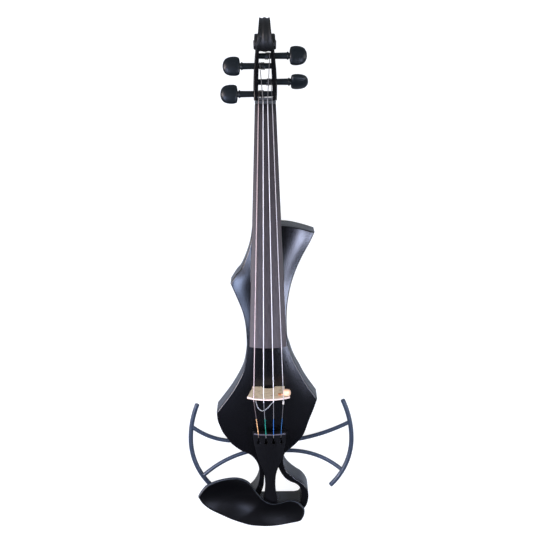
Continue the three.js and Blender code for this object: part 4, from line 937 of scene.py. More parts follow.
@dataclass(frozen=True)
class Setup:
    """Sizes that more than one sub-assembly needs, in millimetres."""

    string_length: float = 328.0
    body_length: float = 350.0
    body_half_width: float = 60.0
    rib_height: float = 30.0
    belly_edge: float = 2.0
    belly_arch: float = 5.5
    leg_top: float = 36.0
    shoulder_share: float = 0.546
    end_share: float = -0.4386
    nut_height: float = 41.5
    bridge_height: float = 73.0
    nut_spread: float = 14.6
    bridge_spread: float = 33.2
    tail_spread: float = 25.6
    clearance: float = 0.3
    crown_radius: float = 42.0
    board_nut_half: float = 11.4
    board_end_half: float = 20.7
    board_length: float = 266.6
    board_side: float = 4.5
    nut_thickness: float = 3.3
    action_nut: float = 0.9
    action_end: float = 4.8

    @property
    def shoulder(self) -> float:
        """Place of the body's upper edge."""
        return self.shoulder_share * self.body_length

    @property
    def tail(self) -> float:
        """Place of the body's lower edge."""
        return self.end_share * self.body_length

    @property
    def board_top(self) -> float:
        """Place of the board's narrow end."""
        return self.string_length - self.nut_thickness - self.clearance

    @property
    def board_end(self) -> float:
        """Place of the board's wide end."""
        return self.board_top - self.board_length

    def string_height(self, y: float) -> float:
        """Height of the middle of the strings."""
        return mix(self.bridge_height, self.nut_height, y / self.string_length)

    def arc_drop(self, x: float) -> float:
        """Fall of the crown's curve away from the middle."""
        return self.crown_radius - math.sqrt(self.crown_radius**2 - x**2)

    def board_half(self, y: float) -> float:
        """Half the board's width."""
        return mix(self.board_end_half, self.board_nut_half, (y - self.board_end) / self.board_length)

    def board_face(self, y: float) -> float:
        """Height of the board's middle line."""
        action = mix(self.action_end, self.action_nut, (y - self.board_end) / self.board_length)
        return self.string_height(y) - action

    def board_under(self, y: float) -> float:
        """Height of the board's underside."""
        return self.board_face(y) - self.arc_drop(self.board_half(y)) - self.board_side


SETUP = Setup()


def place_piece(
    obj: Object, finish: str, slot: str, nodes: Sequence[str] = (), body: str = ROOT_BODY,
) -> None:
    """Give a piece its finish and its body, and hide the CAD nodes that it stands for.

    Args:
        obj: the piece.
        finish: which finish it wears.
        slot: the record's material slot; not used.
        nodes: CAD nodes that it replaces.
        body: the CAD body that it rides on.
    """
    obj.data.materials.clear()
    obj.data.materials.append(MATERIALS[finish])
    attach(obj, body)
    if nodes:
        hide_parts(*nodes)
    LOG.info("piece %s on %s with %s", obj.name, body, finish)


def refine(node: str, width: float) -> Object:
    """Copy a CAD node as a clean mesh with rounded edges.

    Args:
        node: the CAD node.
        width: width of the rounding in millimetres.

    Returns:
        The copy.
    """
    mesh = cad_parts[node].data.copy()
    work = bmesh.new()
    work.from_mesh(mesh)
    bmesh.ops.remove_doubles(work, verts=work.verts, dist=REFINE_WELD)
    bmesh.ops.dissolve_limit(work, angle_limit=FLAT_ANGLE, verts=work.verts, edges=work.edges)
    work.to_mesh(mesh)
    work.free()
    mesh.materials.clear()
    return soften(show(node + "_piece", mesh), width)


# Body


@dataclass
class Body:
    """The ribs with their pockets, and the arched belly on them."""

    steps: int = 7
    grid: float = 3.2
    rim_round: float = 1.2
    back_round: float = 1.6
    joint_chamfer: float = 0.35
    blend_low: float = -0.245
    blend_high: float = -0.175
    ease_reach: float = 14.0
    ease_samples: int = 12
    shoulder_gap: float = 8.9
    edge_power: float = 14.0
    edge_limit: float = 1.05
    flat_lift: float = 2.4
    flat_low: float = 0.17
    flat_high: float = 0.36
    normal_step: float = 1.0
    face_slack: float = 0.03
    runs: tuple[tuple[Row, ...], ...] = (
        ((-0.267, 0.546), (0.245, 0.546)),
        ((0.245, 0.546), (0.43, 0.543), (0.67, 0.533), (0.885, 0.521)),
        ((0.885, 0.521), (0.8, 0.49), (0.64, 0.439), (0.51, 0.387), (0.42, 0.334), (0.36, 0.261),
         (0.37, 0.167), (0.417, 0.133), (0.49, 0.095), (0.605, 0.057), (0.72, 0.019), (0.933, -0.035)),
        ((0.933, -0.035), (0.87, -0.068), (0.775, -0.11), (0.69, -0.152), (0.62, -0.173), (0.507, -0.194),
         (0.377, -0.213), (0.305, -0.225), (0.272, -0.241), (0.277, -0.261), (0.325, -0.283), (0.4, -0.299),
         (0.518, -0.316), (0.635, -0.33), (0.72, -0.349), (0.76, -0.371), (0.75, -0.396), (0.7, -0.418),
         (0.6, -0.434), (0.467, -0.4386)),
        ((0.467, -0.4386), (-0.5, -0.4386)),
        ((-0.5, -0.4386), (-0.633, -0.433), (-0.7, -0.42), (-0.667, -0.406), (-0.533, -0.391),
         (-0.383, -0.376), (-0.275, -0.354), (-0.21, -0.326), (-0.192, -0.296), (-0.21, -0.268),
         (-0.268, -0.246), (-0.37, -0.228), (-0.55, -0.213), (-0.713, -0.192), (-0.81, -0.17),
         (-0.893, -0.149), (-0.943, -0.128), (-0.985, -0.107), (-1, -0.078)),
        ((-1, -0.078), (-0.817, -0.037), (-0.678, -0.003), (-0.54, 0.039), (-0.462, 0.073), (-0.418, 0.117),
         (-0.402, 0.167), (-0.423, 0.222), (-0.473, 0.263), (-0.56, 0.303), (-0.69, 0.356)),
        ((-0.69, 0.356), (-0.582, 0.385), (-0.487, 0.405), (-0.38, 0.447), (-0.305, 0.492), (-0.267, 0.546)),
    )
    window: tuple[tuple[Row, ...], ...] = (
        ((0.017, -0.241), (-0.067, -0.248), (-0.113, -0.27), (-0.1, -0.3), (-0.113, -0.337), (-0.167, -0.366),
         (-0.235, -0.39), (-0.22, -0.4057)),
        ((-0.22, -0.4057), (0.5, -0.4057)),
        ((0.5, -0.4057), (0.6, -0.398), (0.625, -0.367), (0.595, -0.348), (0.518, -0.334), (0.4, -0.325),
         (0.303, -0.312), (0.227, -0.293), (0.178, -0.275), (0.117, -0.257), (0.017, -0.241)),
    )
    outline: Outline = field(init=False)
    spans: dict[float, Row] = field(default_factory=dict)
    eased: dict[int, Row] = field(default_factory=dict)

    def __post_init__(self) -> None:
        """Draw the outline."""
        self.outline = Outline([self.trace(self.runs), self.trace(self.window)])

    def trace(self, runs: Sequence[Sequence[Row]]) -> list[Vector]:
        """Return one closed loop through smooth runs, with crisp corners between them."""
        loop: list[Vector] = []
        for run in runs:
            points = [Vector((x * SETUP.body_half_width, y * SETUP.body_length, 0)) for x, y in run]
            steps = self.steps if len(points) > 2 else self.steps * 2
            loop += curve_points(points, steps)[:-1]
        return loop

    def span(self, y: float) -> Row:
        """Return the edges at a place along the body, kept for the next call."""
        key = round(y, 3)
        if key not in self.spans:
            self.spans[key] = self.outline.span(key)
        return self.spans[key]

    def eased_row(self, row: int) -> Row:
        """Return the edges as the arch sees them at a whole millimetre: a soft mean of those nearby.

        Args:
            row: the millimetre along the body.

        Returns:
            The left and the right edge.
        """
        if row in self.eased:
            return self.eased[row]
        low = self.blend_low * SETUP.body_length
        high = SETUP.shoulder - self.shoulder_gap
        left = right = weights = 0.0
        for k in range(-self.ease_samples, self.ease_samples + 1):
            share = k / self.ease_samples
            weight = math.exp(-2 * share * share)
            edges = self.span(min(max(row + share * self.ease_reach, low), high))
            left += weight * edges[0]
            right += weight * edges[1]
            weights += weight
        self.eased[row] = (left / weights, right / weights)
        return self.eased[row]

    def eased_span(self, y: float) -> Row:
        """Return the eased edges at any place along the body."""
        row = math.floor(y)
        below, above = self.eased_row(row), self.eased_row(row + 1)
        return mix(below[0], above[0], y - row), mix(below[1], above[1], y - row)

    def belly(self, x: float, y: float) -> float:
        """Height of the belly's face: arched over the body, flat over the legs and the bar.

        Args:
            x: place across the body.
            y: place along it.

        Returns:
            The height.
        """
        low = self.blend_low * SETUP.body_length
        high = self.blend_high * SETUP.body_length
        left, right = self.eased_span(y)
        across = abs(2 * x - left - right) / (right - left)
        across /= (1 + (across / self.edge_limit) ** self.edge_power) ** (1 / self.edge_power)
        flat = 1 - smooth(self.flat_low * SETUP.body_length, self.flat_high * SETUP.body_length, y)
        lift = self.flat_lift * flat
        edge = SETUP.rib_height + SETUP.belly_edge + lift
        arched = edge + (SETUP.belly_arch - lift) * (1 - across * across)
        return mix(SETUP.leg_top, arched, smooth(low, high, y))

    def shade_arch(self, obj: Object) -> Object:
        """Give the belly's face the normals of its true arch, so that gloss runs evenly over it.

        Args:
            obj: the belly, in metres.

        Returns:
            The same object.
        """
        mesh, step = obj.data, self.normal_step
        arch: dict[int, Vector] = {}
        for vertex in mesh.vertices:
            x, y, z = vertex.co / MM
            if abs(z - self.belly(x, y)) < self.face_slack:
                rise_x = (self.belly(x + step, y) - self.belly(x - step, y)) / (2 * step)
                rise_y = (self.belly(x, y + step) - self.belly(x, y - step)) / (2 * step)
                arch[vertex.index] = Vector((-rise_x, -rise_y, 1)).normalized()
        corners = zip(mesh.loops, mesh.corner_normals)
        normals = [arch.get(loop.vertex_index, corner.vector) for loop, corner in corners]
        mesh.normals_split_custom_set(normals)
        return obj

    @staticmethod
    def level(obj: Object) -> Object:
        """Give every level face its own straight normal, so that the flat back shines evenly."""
        mesh = obj.data
        normals = [corner.vector.copy() for corner in mesh.corner_normals]
        for face in mesh.polygons:
            if abs(face.normal.z) > LEVEL:
                for loop in face.loop_indices:
                    normals[loop] = face.normal.copy()
        mesh.normals_split_custom_set(normals)
        return obj

    @staticmethod
    def rounding(radius: float, steps: int) -> list[Row]:
        """Return rows of inset and drop along a quarter circle, from the wall inwards."""
        turns = spread(0, math.pi / 2, steps)
        return [(radius * (1 - math.cos(turn)), radius * (1 - math.sin(turn))) for turn in turns]

    def pockets(self) -> list[Object]:
        """Make what is cut from the back and the sides, as the CAD model has it.

        Returns:
            The cutters.
        """
        deep, flush, jack_x, jack_z = -2.0, 22.4, 25.2, 16.6
        return [
            block("battery bay", (-14.25, 20.25, deep), (14.25, 75.75, flush)),
            block("door seat", (-16.75, 17.75, deep), (16.75, 76.2, 2.5)),
            block("hinge seat", (-16.75, 72.5, deep), (16.75, 78.25, 3.9)),
            block("control bay", (-29.0, -56.0, deep), (31.0, -25.0, flush)),
            block("panel seat", (-34.3, -58.3, deep), (36.3, -22.7, 8.0)),
            block("clamp recess", (-36.3, SETUP.tail - 2, deep), (-9.7, SETUP.tail + 10.6, 5.2)),
            rod("jack recess", (jack_x, -89.0, jack_z), (jack_x, -59.0, jack_z), 6.2),
            rod("jack bore", (jack_x, -61.0, jack_z), (jack_x, -54.0, jack_z), 4.7),
        ]

    def build(self) -> None:
        """Make the ribs and the belly."""
        chamfer = [(0.0, self.joint_chamfer), (self.joint_chamfer, 0.0)]
        back, rim = self.rounding(self.back_round, 4), self.rounding(self.rim_round, 5)
        ribs = self.outline.slab(0.0, lambda _x, _y: SETUP.rib_height, chamfer, back, 0).make("ribs", 40.0)
        carve(ribs, self.pockets())
        place_piece(self.level(ribs), "lacquer", "black_lacquer", ["body_core"])
        belly = self.outline.slab(SETUP.rib_height, self.belly, rim, chamfer, self.grid).make("belly", 40.0)
        place_piece(self.shade_arch(belly), "lacquer", "black_lacquer", ["belly_plate"])


# Neck, pegbox and scroll


@dataclass
class Neck:
    """The shaft with its heel and foot, the open pegbox and the carved scroll."""

    heel_bottom: float = 0.4
    nut_depth: float = 15.5
    heel_depth: float = 19.0
    foot_length: float = 61.5
    foot_overlap: float = 1.0
    box_length: float = 53.0
    box_half: float = 12.4
    box_round: float = 2.0
    top_nut: float = 40.2
    top_end: float = 34.0
    bottom_nut: float = 17.5
    bottom_end: float = 11.5
    window_nut: float = 8.0
    window_end: float = 6.2
    window_length: float = 51.6
    throat_top: float = 36.4
    throat_run: float = 4.0
    eye_offset: float = 6.6
    eye_height: float = 26.0
    flute_depth: float = 1.15
    voxel: float = 0.42
    drop_table: tuple[Row, ...] = (
        (0, 1), (0.03, 0.97), (0.06, 0.84), (0.09, 0.6), (0.13, 0.3), (0.18, 0.1), (0.25, 0.02), (0.34, 0),
        (0.6, 0), (1, 0))
    width_table: tuple[Row, ...] = ((0, 1), (0.22, 1.03), (0.42, 1.01), (0.62, 0.97), (0.82, 0.89), (1, 0.82))
    # Turn of the volute in degrees, from the back over the tip to the eye, with its radius and half width
    volute_table: tuple[Triple, ...] = (
        (-115, 15.6, 9.6), (-90, 15.5, 8.9), (-60, 18.6, 7.7), (-30, 24.6, 6.5), (0, 27.4, 5.8),
        (25, 25.6, 6.2), (50, 21.4, 7.0), (75, 17.4, 8.0), (100, 14.4, 8.8), (130, 11.4, 9.4),
        (160, 9.4, 9.8), (200, 9.2, 10.2), (240, 10.2, 10.5), (280, 10.9, 10.7), (320, 10.9, 10.9),
        (360, 10.2, 11.1), (420, 8.9, 11.4), (480, 7.6, 11.8), (540, 6.6, 12.1), (600, 5.6, 12.3),
        (680, 4.9, 12.4))

    def top(self, y: float) -> float:
        """Height of the shaft's glued face."""
        return SETUP.board_under(min(y, SETUP.board_top)) - SETUP.clearance

    def box_width(self, y: float) -> float:
        """Half width of the pegbox."""
        return along(self.width_table, (y - SETUP.string_length) / self.box_length) * self.box_half

    def box_top(self, y: float) -> float:
        """Height of the cheeks' front edge."""
        return mix(self.top_nut, self.top_end, (y - SETUP.string_length) / self.box_length)

    def box_bottom(self, y: float) -> float:
        """Height of the cheeks' back edge."""
        return mix(self.bottom_nut, self.bottom_end, (y - SETUP.string_length) / self.box_length)

    def window_half(self, y: float) -> float:
        """Half width of the slot between the cheeks."""
        return mix(self.window_nut, self.window_end, (y - SETUP.string_length) / self.window_length)

    def shaft(self) -> Object:
        """Make the shaft and its heel, rounded where the hand goes.

        Returns:
            The object.
        """
        rows, columns, crowding, squareness = 70, 36, 1.3, 0.62
        start, end = SETUP.shoulder + SETUP.clearance, SETUP.string_length + SETUP.clearance
        rings = []
        for row in spread(0, 1, rows):
            share = row**crowding
            y = mix(start, end, share)
            drop = along(self.drop_table, share)
            shaft = self.top(y) - mix(self.heel_depth, self.nut_depth, share)
            bottom = mix(shaft, self.heel_bottom, drop)
            half = SETUP.board_half(min(y, SETUP.board_top)) - SETUP.clearance
            power = mix(1, squareness, drop)
            ring = []
            for angle in spread(0, math.pi, columns):
                z = mix(self.top(y), bottom, abs(math.sin(angle)) ** power)
                ring.append(Vector((half * bulge(math.cos(angle), power), y, z)))
            rings.append(ring)
        return Skin().loft(rings).make("neck_shaft", 50.0)

    def foot(self) -> Object:
        """Make the foot that is let into the body under the board."""
        rings = []
        low = SETUP.rib_height + SETUP.clearance
        ends = (SETUP.shoulder - self.foot_length, SETUP.shoulder + SETUP.clearance * 2)
        for i, y in enumerate(ends):
            half = SETUP.board_half(y) + (self.foot_overlap if i == 0 else 0.0)
            top = self.top(y)
            corners = ((-half, low), (half, low), (half, top), (-half, top))
            rings.append([Vector((x, y, z)) for x, z in corners])
        return soften(Skin().loft(rings).make("neck_foot"), 0.8, 3)

    def pegbox(self) -> Object:
        """Make the two cheeks with the slot between them.

        Returns:
            The object.
        """
        rows, corner_steps, overrun, floor = 24, 5, 1.02, -1.0
        nut = SETUP.string_length
        rings = []
        for y in spread(nut, nut + self.box_length * overrun, rows):
            half, low, high = self.box_width(y), self.box_bottom(y), self.box_top(y)
            ring = []
            for x, z, quarter in ((half, high, 0), (-half, high, 1), (-half, low, 2), (half, low, 3)):
                centre_x = x - math.copysign(self.box_round, x)
                centre_z = z - self.box_round if z == high else z + self.box_round
                for turn in spread(quarter, quarter + 1, corner_steps):
                    corner = round_point(self.box_round, turn / 4)
                    ring.append(Vector((centre_x + corner.x, y, centre_z + corner.y)))
            rings.append(ring)
        box = Skin().loft(rings).make("pegbox", 40.0)
        front, end = nut - SETUP.clearance, nut + self.window_length
        high = self.top_nut + 2
        profile = ((front, high), (front, self.throat_top), (nut + self.throat_run, floor),
                   (end, floor), (end, high))
        sides = [[Vector((way * self.window_half(y), y, z)) for y, z in profile] for way in (-1, 1)]
        carve(box, [Skin().loft(sides).make("slot")])
        return soften(box, 0.5, 2, 40.0)

    def volute(self, degrees: float) -> Row:
        """Return the volute's radius and half width at a turn."""
        radii = [(row[0], row[1]) for row in self.volute_table]
        widths = [(row[0], row[2]) for row in self.volute_table]
        return along(radii, degrees), along(widths, degrees)

    def scroll(self) -> Object:
        """Carve the scroll: nested turns with two flutes over the outer one, and a round eye.

        Returns:
            The object.
        """
        across, step, overlap, corner_depth = 28, 5.0, 0.4, 0.7
        eye = Vector((0, SETUP.string_length + self.box_length + self.eye_offset, self.eye_height))
        first, last = self.volute_table[0][0], self.volute_table[-1][0]
        whole = Skin()
        for i in range(int((last - first) / step)):
            rings = []
            for degrees in (first + i * step, first + (i + 1) * step + overlap):
                radius, half = self.volute(degrees)
                angle = math.radians(degrees)
                out = Vector((0, math.cos(angle), math.sin(angle)))
                fade = 1 - smooth(150, 260, degrees)
                ring = [eye + Vector((-half, 0, 0)), eye + Vector((half, 0, 0))]
                for share in spread(1, -1, across):
                    flute = self.flute_depth * math.sin(math.pi * share) ** 2 * fade
                    corner = corner_depth * smooth(0.9, 1.0, abs(share))
                    ring.append(eye + Vector((share * half, 0, 0)) + out * (radius - flute - corner))
                rings.append(ring)
            whole.add(Skin().loft(rings))
        whole.add(self.throat_block(eye))
        obj = show("scroll", whole.mesh("scroll"))
        remesh = obj.modifiers.new("fuse", "REMESH")
        remesh.mode = "VOXEL"
        remesh.voxel_size = self.voxel * MM
        relax = obj.modifiers.new("sand", "SMOOTH")
        relax.factor = 0.5
        relax.iterations = 4
        bake(obj)
        shade(obj.data, 60.0)
        return obj

    def throat_block(self, eye: Vector) -> Skin:
        """Make the wood between the pegbox's end and the volute.

        Args:
            eye: middle of the scroll's eye.

        Returns:
            The skin.
        """
        rows, corners, squareness, end_half = 8, 20, 0.35, 9.3
        rings = []
        for share in spread(0, 1, rows):
            y = mix(SETUP.string_length + self.window_length - 0.2, eye.y, share)
            half = mix(self.box_width(y) - 0.2, end_half, share)
            low = mix(self.box_bottom(y) + 0.1, self.eye_height - 15.2, share)
            high = mix(self.box_top(y) - 0.3, self.eye_height + 4, share)
            centre, reach = (low + high) / 2, (high - low) / 2
            ring = []
            for k in range(corners):
                angle = math.tau * k / corners
                x = half * bulge(math.cos(angle), squareness)
                ring.append(Vector((x, y, centre + reach * bulge(math.sin(angle), squareness))))
            rings.append(ring)
        return Skin().loft(rings)

    def build(self) -> None:
        """Make every piece of the neck."""
        place_piece(self.shaft(), "lacquer", "black_lacquer", ["neck"])
        for piece in (self.foot(), self.pegbox()):
            place_piece(piece, "lacquer", "black_lacquer")
        place_piece(self.scroll(), "scroll", "black_lacquer")


@dataclass
class Fingerboard:
    """The long arched board with its hollow free end, and the nut."""

    hollow: float = 2.6
    glued_from: float = 125.1
    nut_sink: float = 5.0
    over: float = 0.65

    def build(self) -> None:
        """Make the board and the nut."""
        rows, across, under, nut_across = 40, 36, 12, 24
        rings = []
        for y in spread(SETUP.board_end, SETUP.board_top, rows):
            half = SETUP.board_half(y)
            hollow = self.hollow * (1 - smooth(self.glued_from - 5, self.glued_from, y))
            face = [(x, SETUP.board_face(y) - SETUP.arc_drop(x)) for x in spread(-half, half, across)]
            ring = [Vector((x, y, z)) for x, z in face]
            for share in spread(1, -1, under):
                ring.append(Vector((share * half, y, SETUP.board_under(y) + hollow * (1 - share * share))))
            rings.append(ring)
        board = soften(Skin().loft(rings).make("board"), 0.6, 3, 40.0)
        place_piece(board, "board", "ebony", ["fingerboard"])
        half = SETUP.board_half(SETUP.board_top)
        low = SETUP.board_face(SETUP.board_top) - self.nut_sink
        top = SETUP.nut_height - self.over
        crown = [(x, top - SETUP.arc_drop(x)) for x in spread(half, -half, nut_across)]
        back = SETUP.string_length - SETUP.clearance
        ends = (back - SETUP.nut_thickness + SETUP.clearance, back)
        rings = [[Vector((x, y, z)) for x, z in [*crown, (-half, low), (half, low)]] for y in ends]
        place_piece(soften(Skin().loft(rings).make("nut_bar"), 0.5, 3), "nut", "bone", ["nut"])


@dataclass(frozen=True)
class PegPlace:
    """A peg's side, distance past the nut, turn in degrees and reach, and its string's share and radius."""

    name: str
    side: int
    offset: float
    turn: float
    reach: float
    string_place: float
    string_radius: float


@dataclass
class Pegs:
    """Four friction pegs with their collars and oval heads, the strings and their turns."""

    neck: Neck
    rope: RopeWork
    tail: Tailpiece
    drop: float = 10.6
    shaft_radius: float = 3.6
    tip_radius: float = 3.0
    collar_radius: float = 4.4
    collar_length: float = 1.7
    head_length: float = 18.7
    head_width: float = 20.6
    head_thickness: float = 9.0
    neck_radius: float = 3.4
    neck_length: float = 1.2
    tip_inset: float = 0.4
    turns: int = 3
    wind_air: float = 0.5
    wind_gap: float = 0.25
    wind_lead: float = 1.15
    wind_start: float = 1.2
    ball_radius: float = 1.6
    places: tuple[PegPlace, ...] = (
        PegPlace("g", -1, 6.3, 0.0, 17.2, STRING_SHARES[0], 0.45),
        PegPlace("d", -1, 35.8, 0.0, 15.2, STRING_SHARES[1], 0.42),
        PegPlace("a", 1, 46.3, 0.0, 15.8, STRING_SHARES[2], 0.38),
        PegPlace("e", 1, 18.9, 40.0, 15.0, STRING_SHARES[3], 0.32),
    )
    # Share of the head's length, its width and its thickness
    head_table: tuple[Triple, ...] = (
        (0, 0.5, 0.7), (0.03, 0.78, 0.86), (0.08, 0.9, 0.95), (0.2, 0.98, 1), (0.35, 1, 1),
        (0.5, 0.985, 0.97), (0.65, 0.93, 0.91), (0.78, 0.83, 0.81), (0.88, 0.68, 0.67), (0.95, 0.47, 0.48),
        (0.985, 0.28, 0.3), (1, 0.1, 0.14))

    def centre(self, place: PegPlace) -> Vector:
        """Return the middle of a peg's axis."""
        y = SETUP.string_length + place.offset
        return Vector((0, y, self.neck.box_top(y) - self.drop))

    def radius(self, distance: float, place: PegPlace) -> float:
        """Radius of the tapered shaft at a distance from the middle."""
        cheek = self.neck.box_width(SETUP.string_length + place.offset)
        return mix(self.tip_radius, self.shaft_radius, (distance + cheek) / (2 * cheek + place.reach))

    def peg(self, place: PegPlace) -> Object:
        """Make one peg: tapered shaft, turned collar and oval head.

        Args:
            place: which peg.

        Returns:
            The object.
        """
        sides = 40
        cheek = self.neck.box_width(SETUP.string_length + place.offset)
        head = cheek + place.reach
        tip = -cheek + self.tip_inset
        collar = head - self.neck_length - self.collar_length
        shaft = self.radius(collar, place)
        profile = [(self.tip_radius - 0.5, tip), (self.tip_radius, tip + 0.5), (shaft, collar - 0.1)]
        for angle in spread(0, math.pi, 8):
            profile.append((mix(shaft, self.collar_radius, abs(math.sin(angle)) ** 0.6),
                            collar + self.collar_length * (1 - math.cos(angle)) / 2))
        profile += [(self.neck_radius, head - self.neck_length + 0.3),
                    (self.neck_radius, head + self.neck_length)]
        spindle = lathe(profile, sides).move(Matrix.Rotation(math.pi / 2, 4, "Y"))
        around = [round_point(1.0, k / sides) for k in range(sides)]
        rings = []
        for share, wide, thick in self.fine_head():
            x = head + share * self.head_length
            half_width, half_thickness = self.head_width / 2 * wide, self.head_thickness / 2 * thick
            rings.append([Vector((x, half_width * p.x, half_thickness * p.y)) for p in around])
        spindle.add(Skin().loft(rings).move(Matrix.Rotation(math.radians(place.turn), 4, "X")))
        turn = Matrix.Rotation(0 if place.side > 0 else math.pi, 4, "Z")
        spindle.move(Matrix.Translation(self.centre(place)) @ turn)
        return spindle.make(f"peg_{place.name}_turned", 40.0)

    def fine_head(self) -> list[Triple]:
        """Return the head's table with soft rows between its own."""
        wide = [(row[0], row[1]) for row in self.head_table]
        thick = [(row[0], row[2]) for row in self.head_table]
        shares = [0.0]
        for first, second in zip(self.head_table, self.head_table[1:]):
            shares += spread(first[0], second[0], 3)[1:]
        return [(share, along(wide, share), along(thick, share)) for share in shares]

    def run_place(self, place: PegPlace) -> float:
        """Distance from the middle at which the string meets its peg."""
        return self.neck.window_half(SETUP.string_length + place.offset) - self.wind_start

    def string_radius(self, distance: float, place: PegPlace) -> float:
        """Radius at which a string's middle runs round its peg."""
        return self.radius(distance, place) + self.wind_gap + place.string_radius

    def winding(self, place: PegPlace) -> Object:
        """Wind the string's turns on its peg, clear of each other by wind_air.

        Args:
            place: which peg.

        Returns:
            The object.
        """
        centre = self.centre(place)
        pitch = 2 * place.string_radius + self.wind_air
        path = []
        for turn in spread(0, self.turns, self.turns * 48):
            distance = self.run_place(place) - self.wind_lead - turn * pitch
            around = round_point(self.string_radius(distance, place), turn)
            path.append(centre + Vector((place.side * distance, around.y, around.x)))
        return self.rope.tube(f"turns_{place.name}", path, place.string_radius, "wire", 12)

    def string(self, place: PegPlace) -> Object:
        """Stretch one string from its keyhole over fret, bridge and nut to its peg.

        Args:
            place: which peg.

        Returns:
            The object.
        """
        centre, tail = self.centre(place), self.tail
        nut_x = place.string_place * SETUP.nut_spread
        bridge_x = place.string_place * SETUP.bridge_spread
        tail_x = tail.string_x(place.string_place)
        nut_z = SETUP.nut_height - SETUP.arc_drop(nut_x)
        fret_y = tail.place(tail.fret_offset)
        fret_z = tail.face(fret_y, tail_x) + tail.fret_height + place.string_radius + 0.2
        slot_y = tail.slot_end
        radius = self.string_radius(self.run_place(place), place)
        gap_y, gap_z = centre.y - SETUP.string_length, nut_z - centre.z
        start = math.atan2(gap_z, gap_y) - math.asin(radius / math.hypot(gap_y, gap_z))
        peg_x = place.side * self.run_place(place)
        under = tail.face(slot_y, tail_x) - tail.thickness - 0.8
        corners = [
            Vector((tail_x, slot_y, under)),
            Vector((tail_x, slot_y, tail.face(slot_y, tail_x) + place.string_radius)),
            Vector((tail_x, fret_y, fret_z)),
            Vector((bridge_x, 0, SETUP.bridge_height - SETUP.arc_drop(bridge_x))),
            Vector((nut_x, SETUP.string_length, nut_z)),
        ]
        path = self.rounded(corners)
        for angle in spread(start, start + math.pi / 2, 12):
            y, z = centre.y + radius * math.sin(angle), centre.z + radius * math.cos(angle)
            path.append(Vector((peg_x, y, z)))
        return self.rope.tube(
            f"string_{place.name}_drawn", path, place.string_radius, f"string_{place.name}", 12)

    @staticmethod
    def rounded(corners: Sequence[Vector], reach: float = 1.2) -> list[Vector]:
        """Ease the bends of a path over a short reach, and return its points."""
        path = [corners[0]]
        for before, point, after in zip(corners, corners[1:], corners[2:]):
            into = point + (before - point).normalized() * reach
            out = point + (after - point).normalized() * reach
            path += [into, (into + 2 * point + out) / 4, out]
        path.append(corners[-1])
        return path

    def ball(self, place: PegPlace) -> Object:
        """Make the plated ball that stops a string under the tailpiece."""
        radius = self.ball_radius
        x, y = self.tail.string_x(place.string_place), self.tail.slot_end
        z = self.tail.face(y, x) - self.tail.thickness - radius - SETUP.clearance
        profile = [(radius * math.sin(a), -radius * math.cos(a)) for a in spread(0, math.pi, 14)[1:-1]]
        return lathe(profile, 28).move(Matrix.Translation((x, y, z))).make(f"ball_{place.name}", 60.0)

    def build(self) -> None:
        """Make the pegs, turns, strings and balls."""
        for place in self.places:
            name = place.name
            body = f"peg_{name}_body"
            place_piece(self.peg(place), "peg", "peg_wood", [f"peg_{name}"], body)
            place_piece(self.winding(place), "wire", "steel", [f"winding_{name}"], body)
            place_piece(self.string(place), f"string_{name}", "steel", [f"string_{name}"])
            place_piece(self.ball(place), "nickel", "steel")


# Bridge and pickup


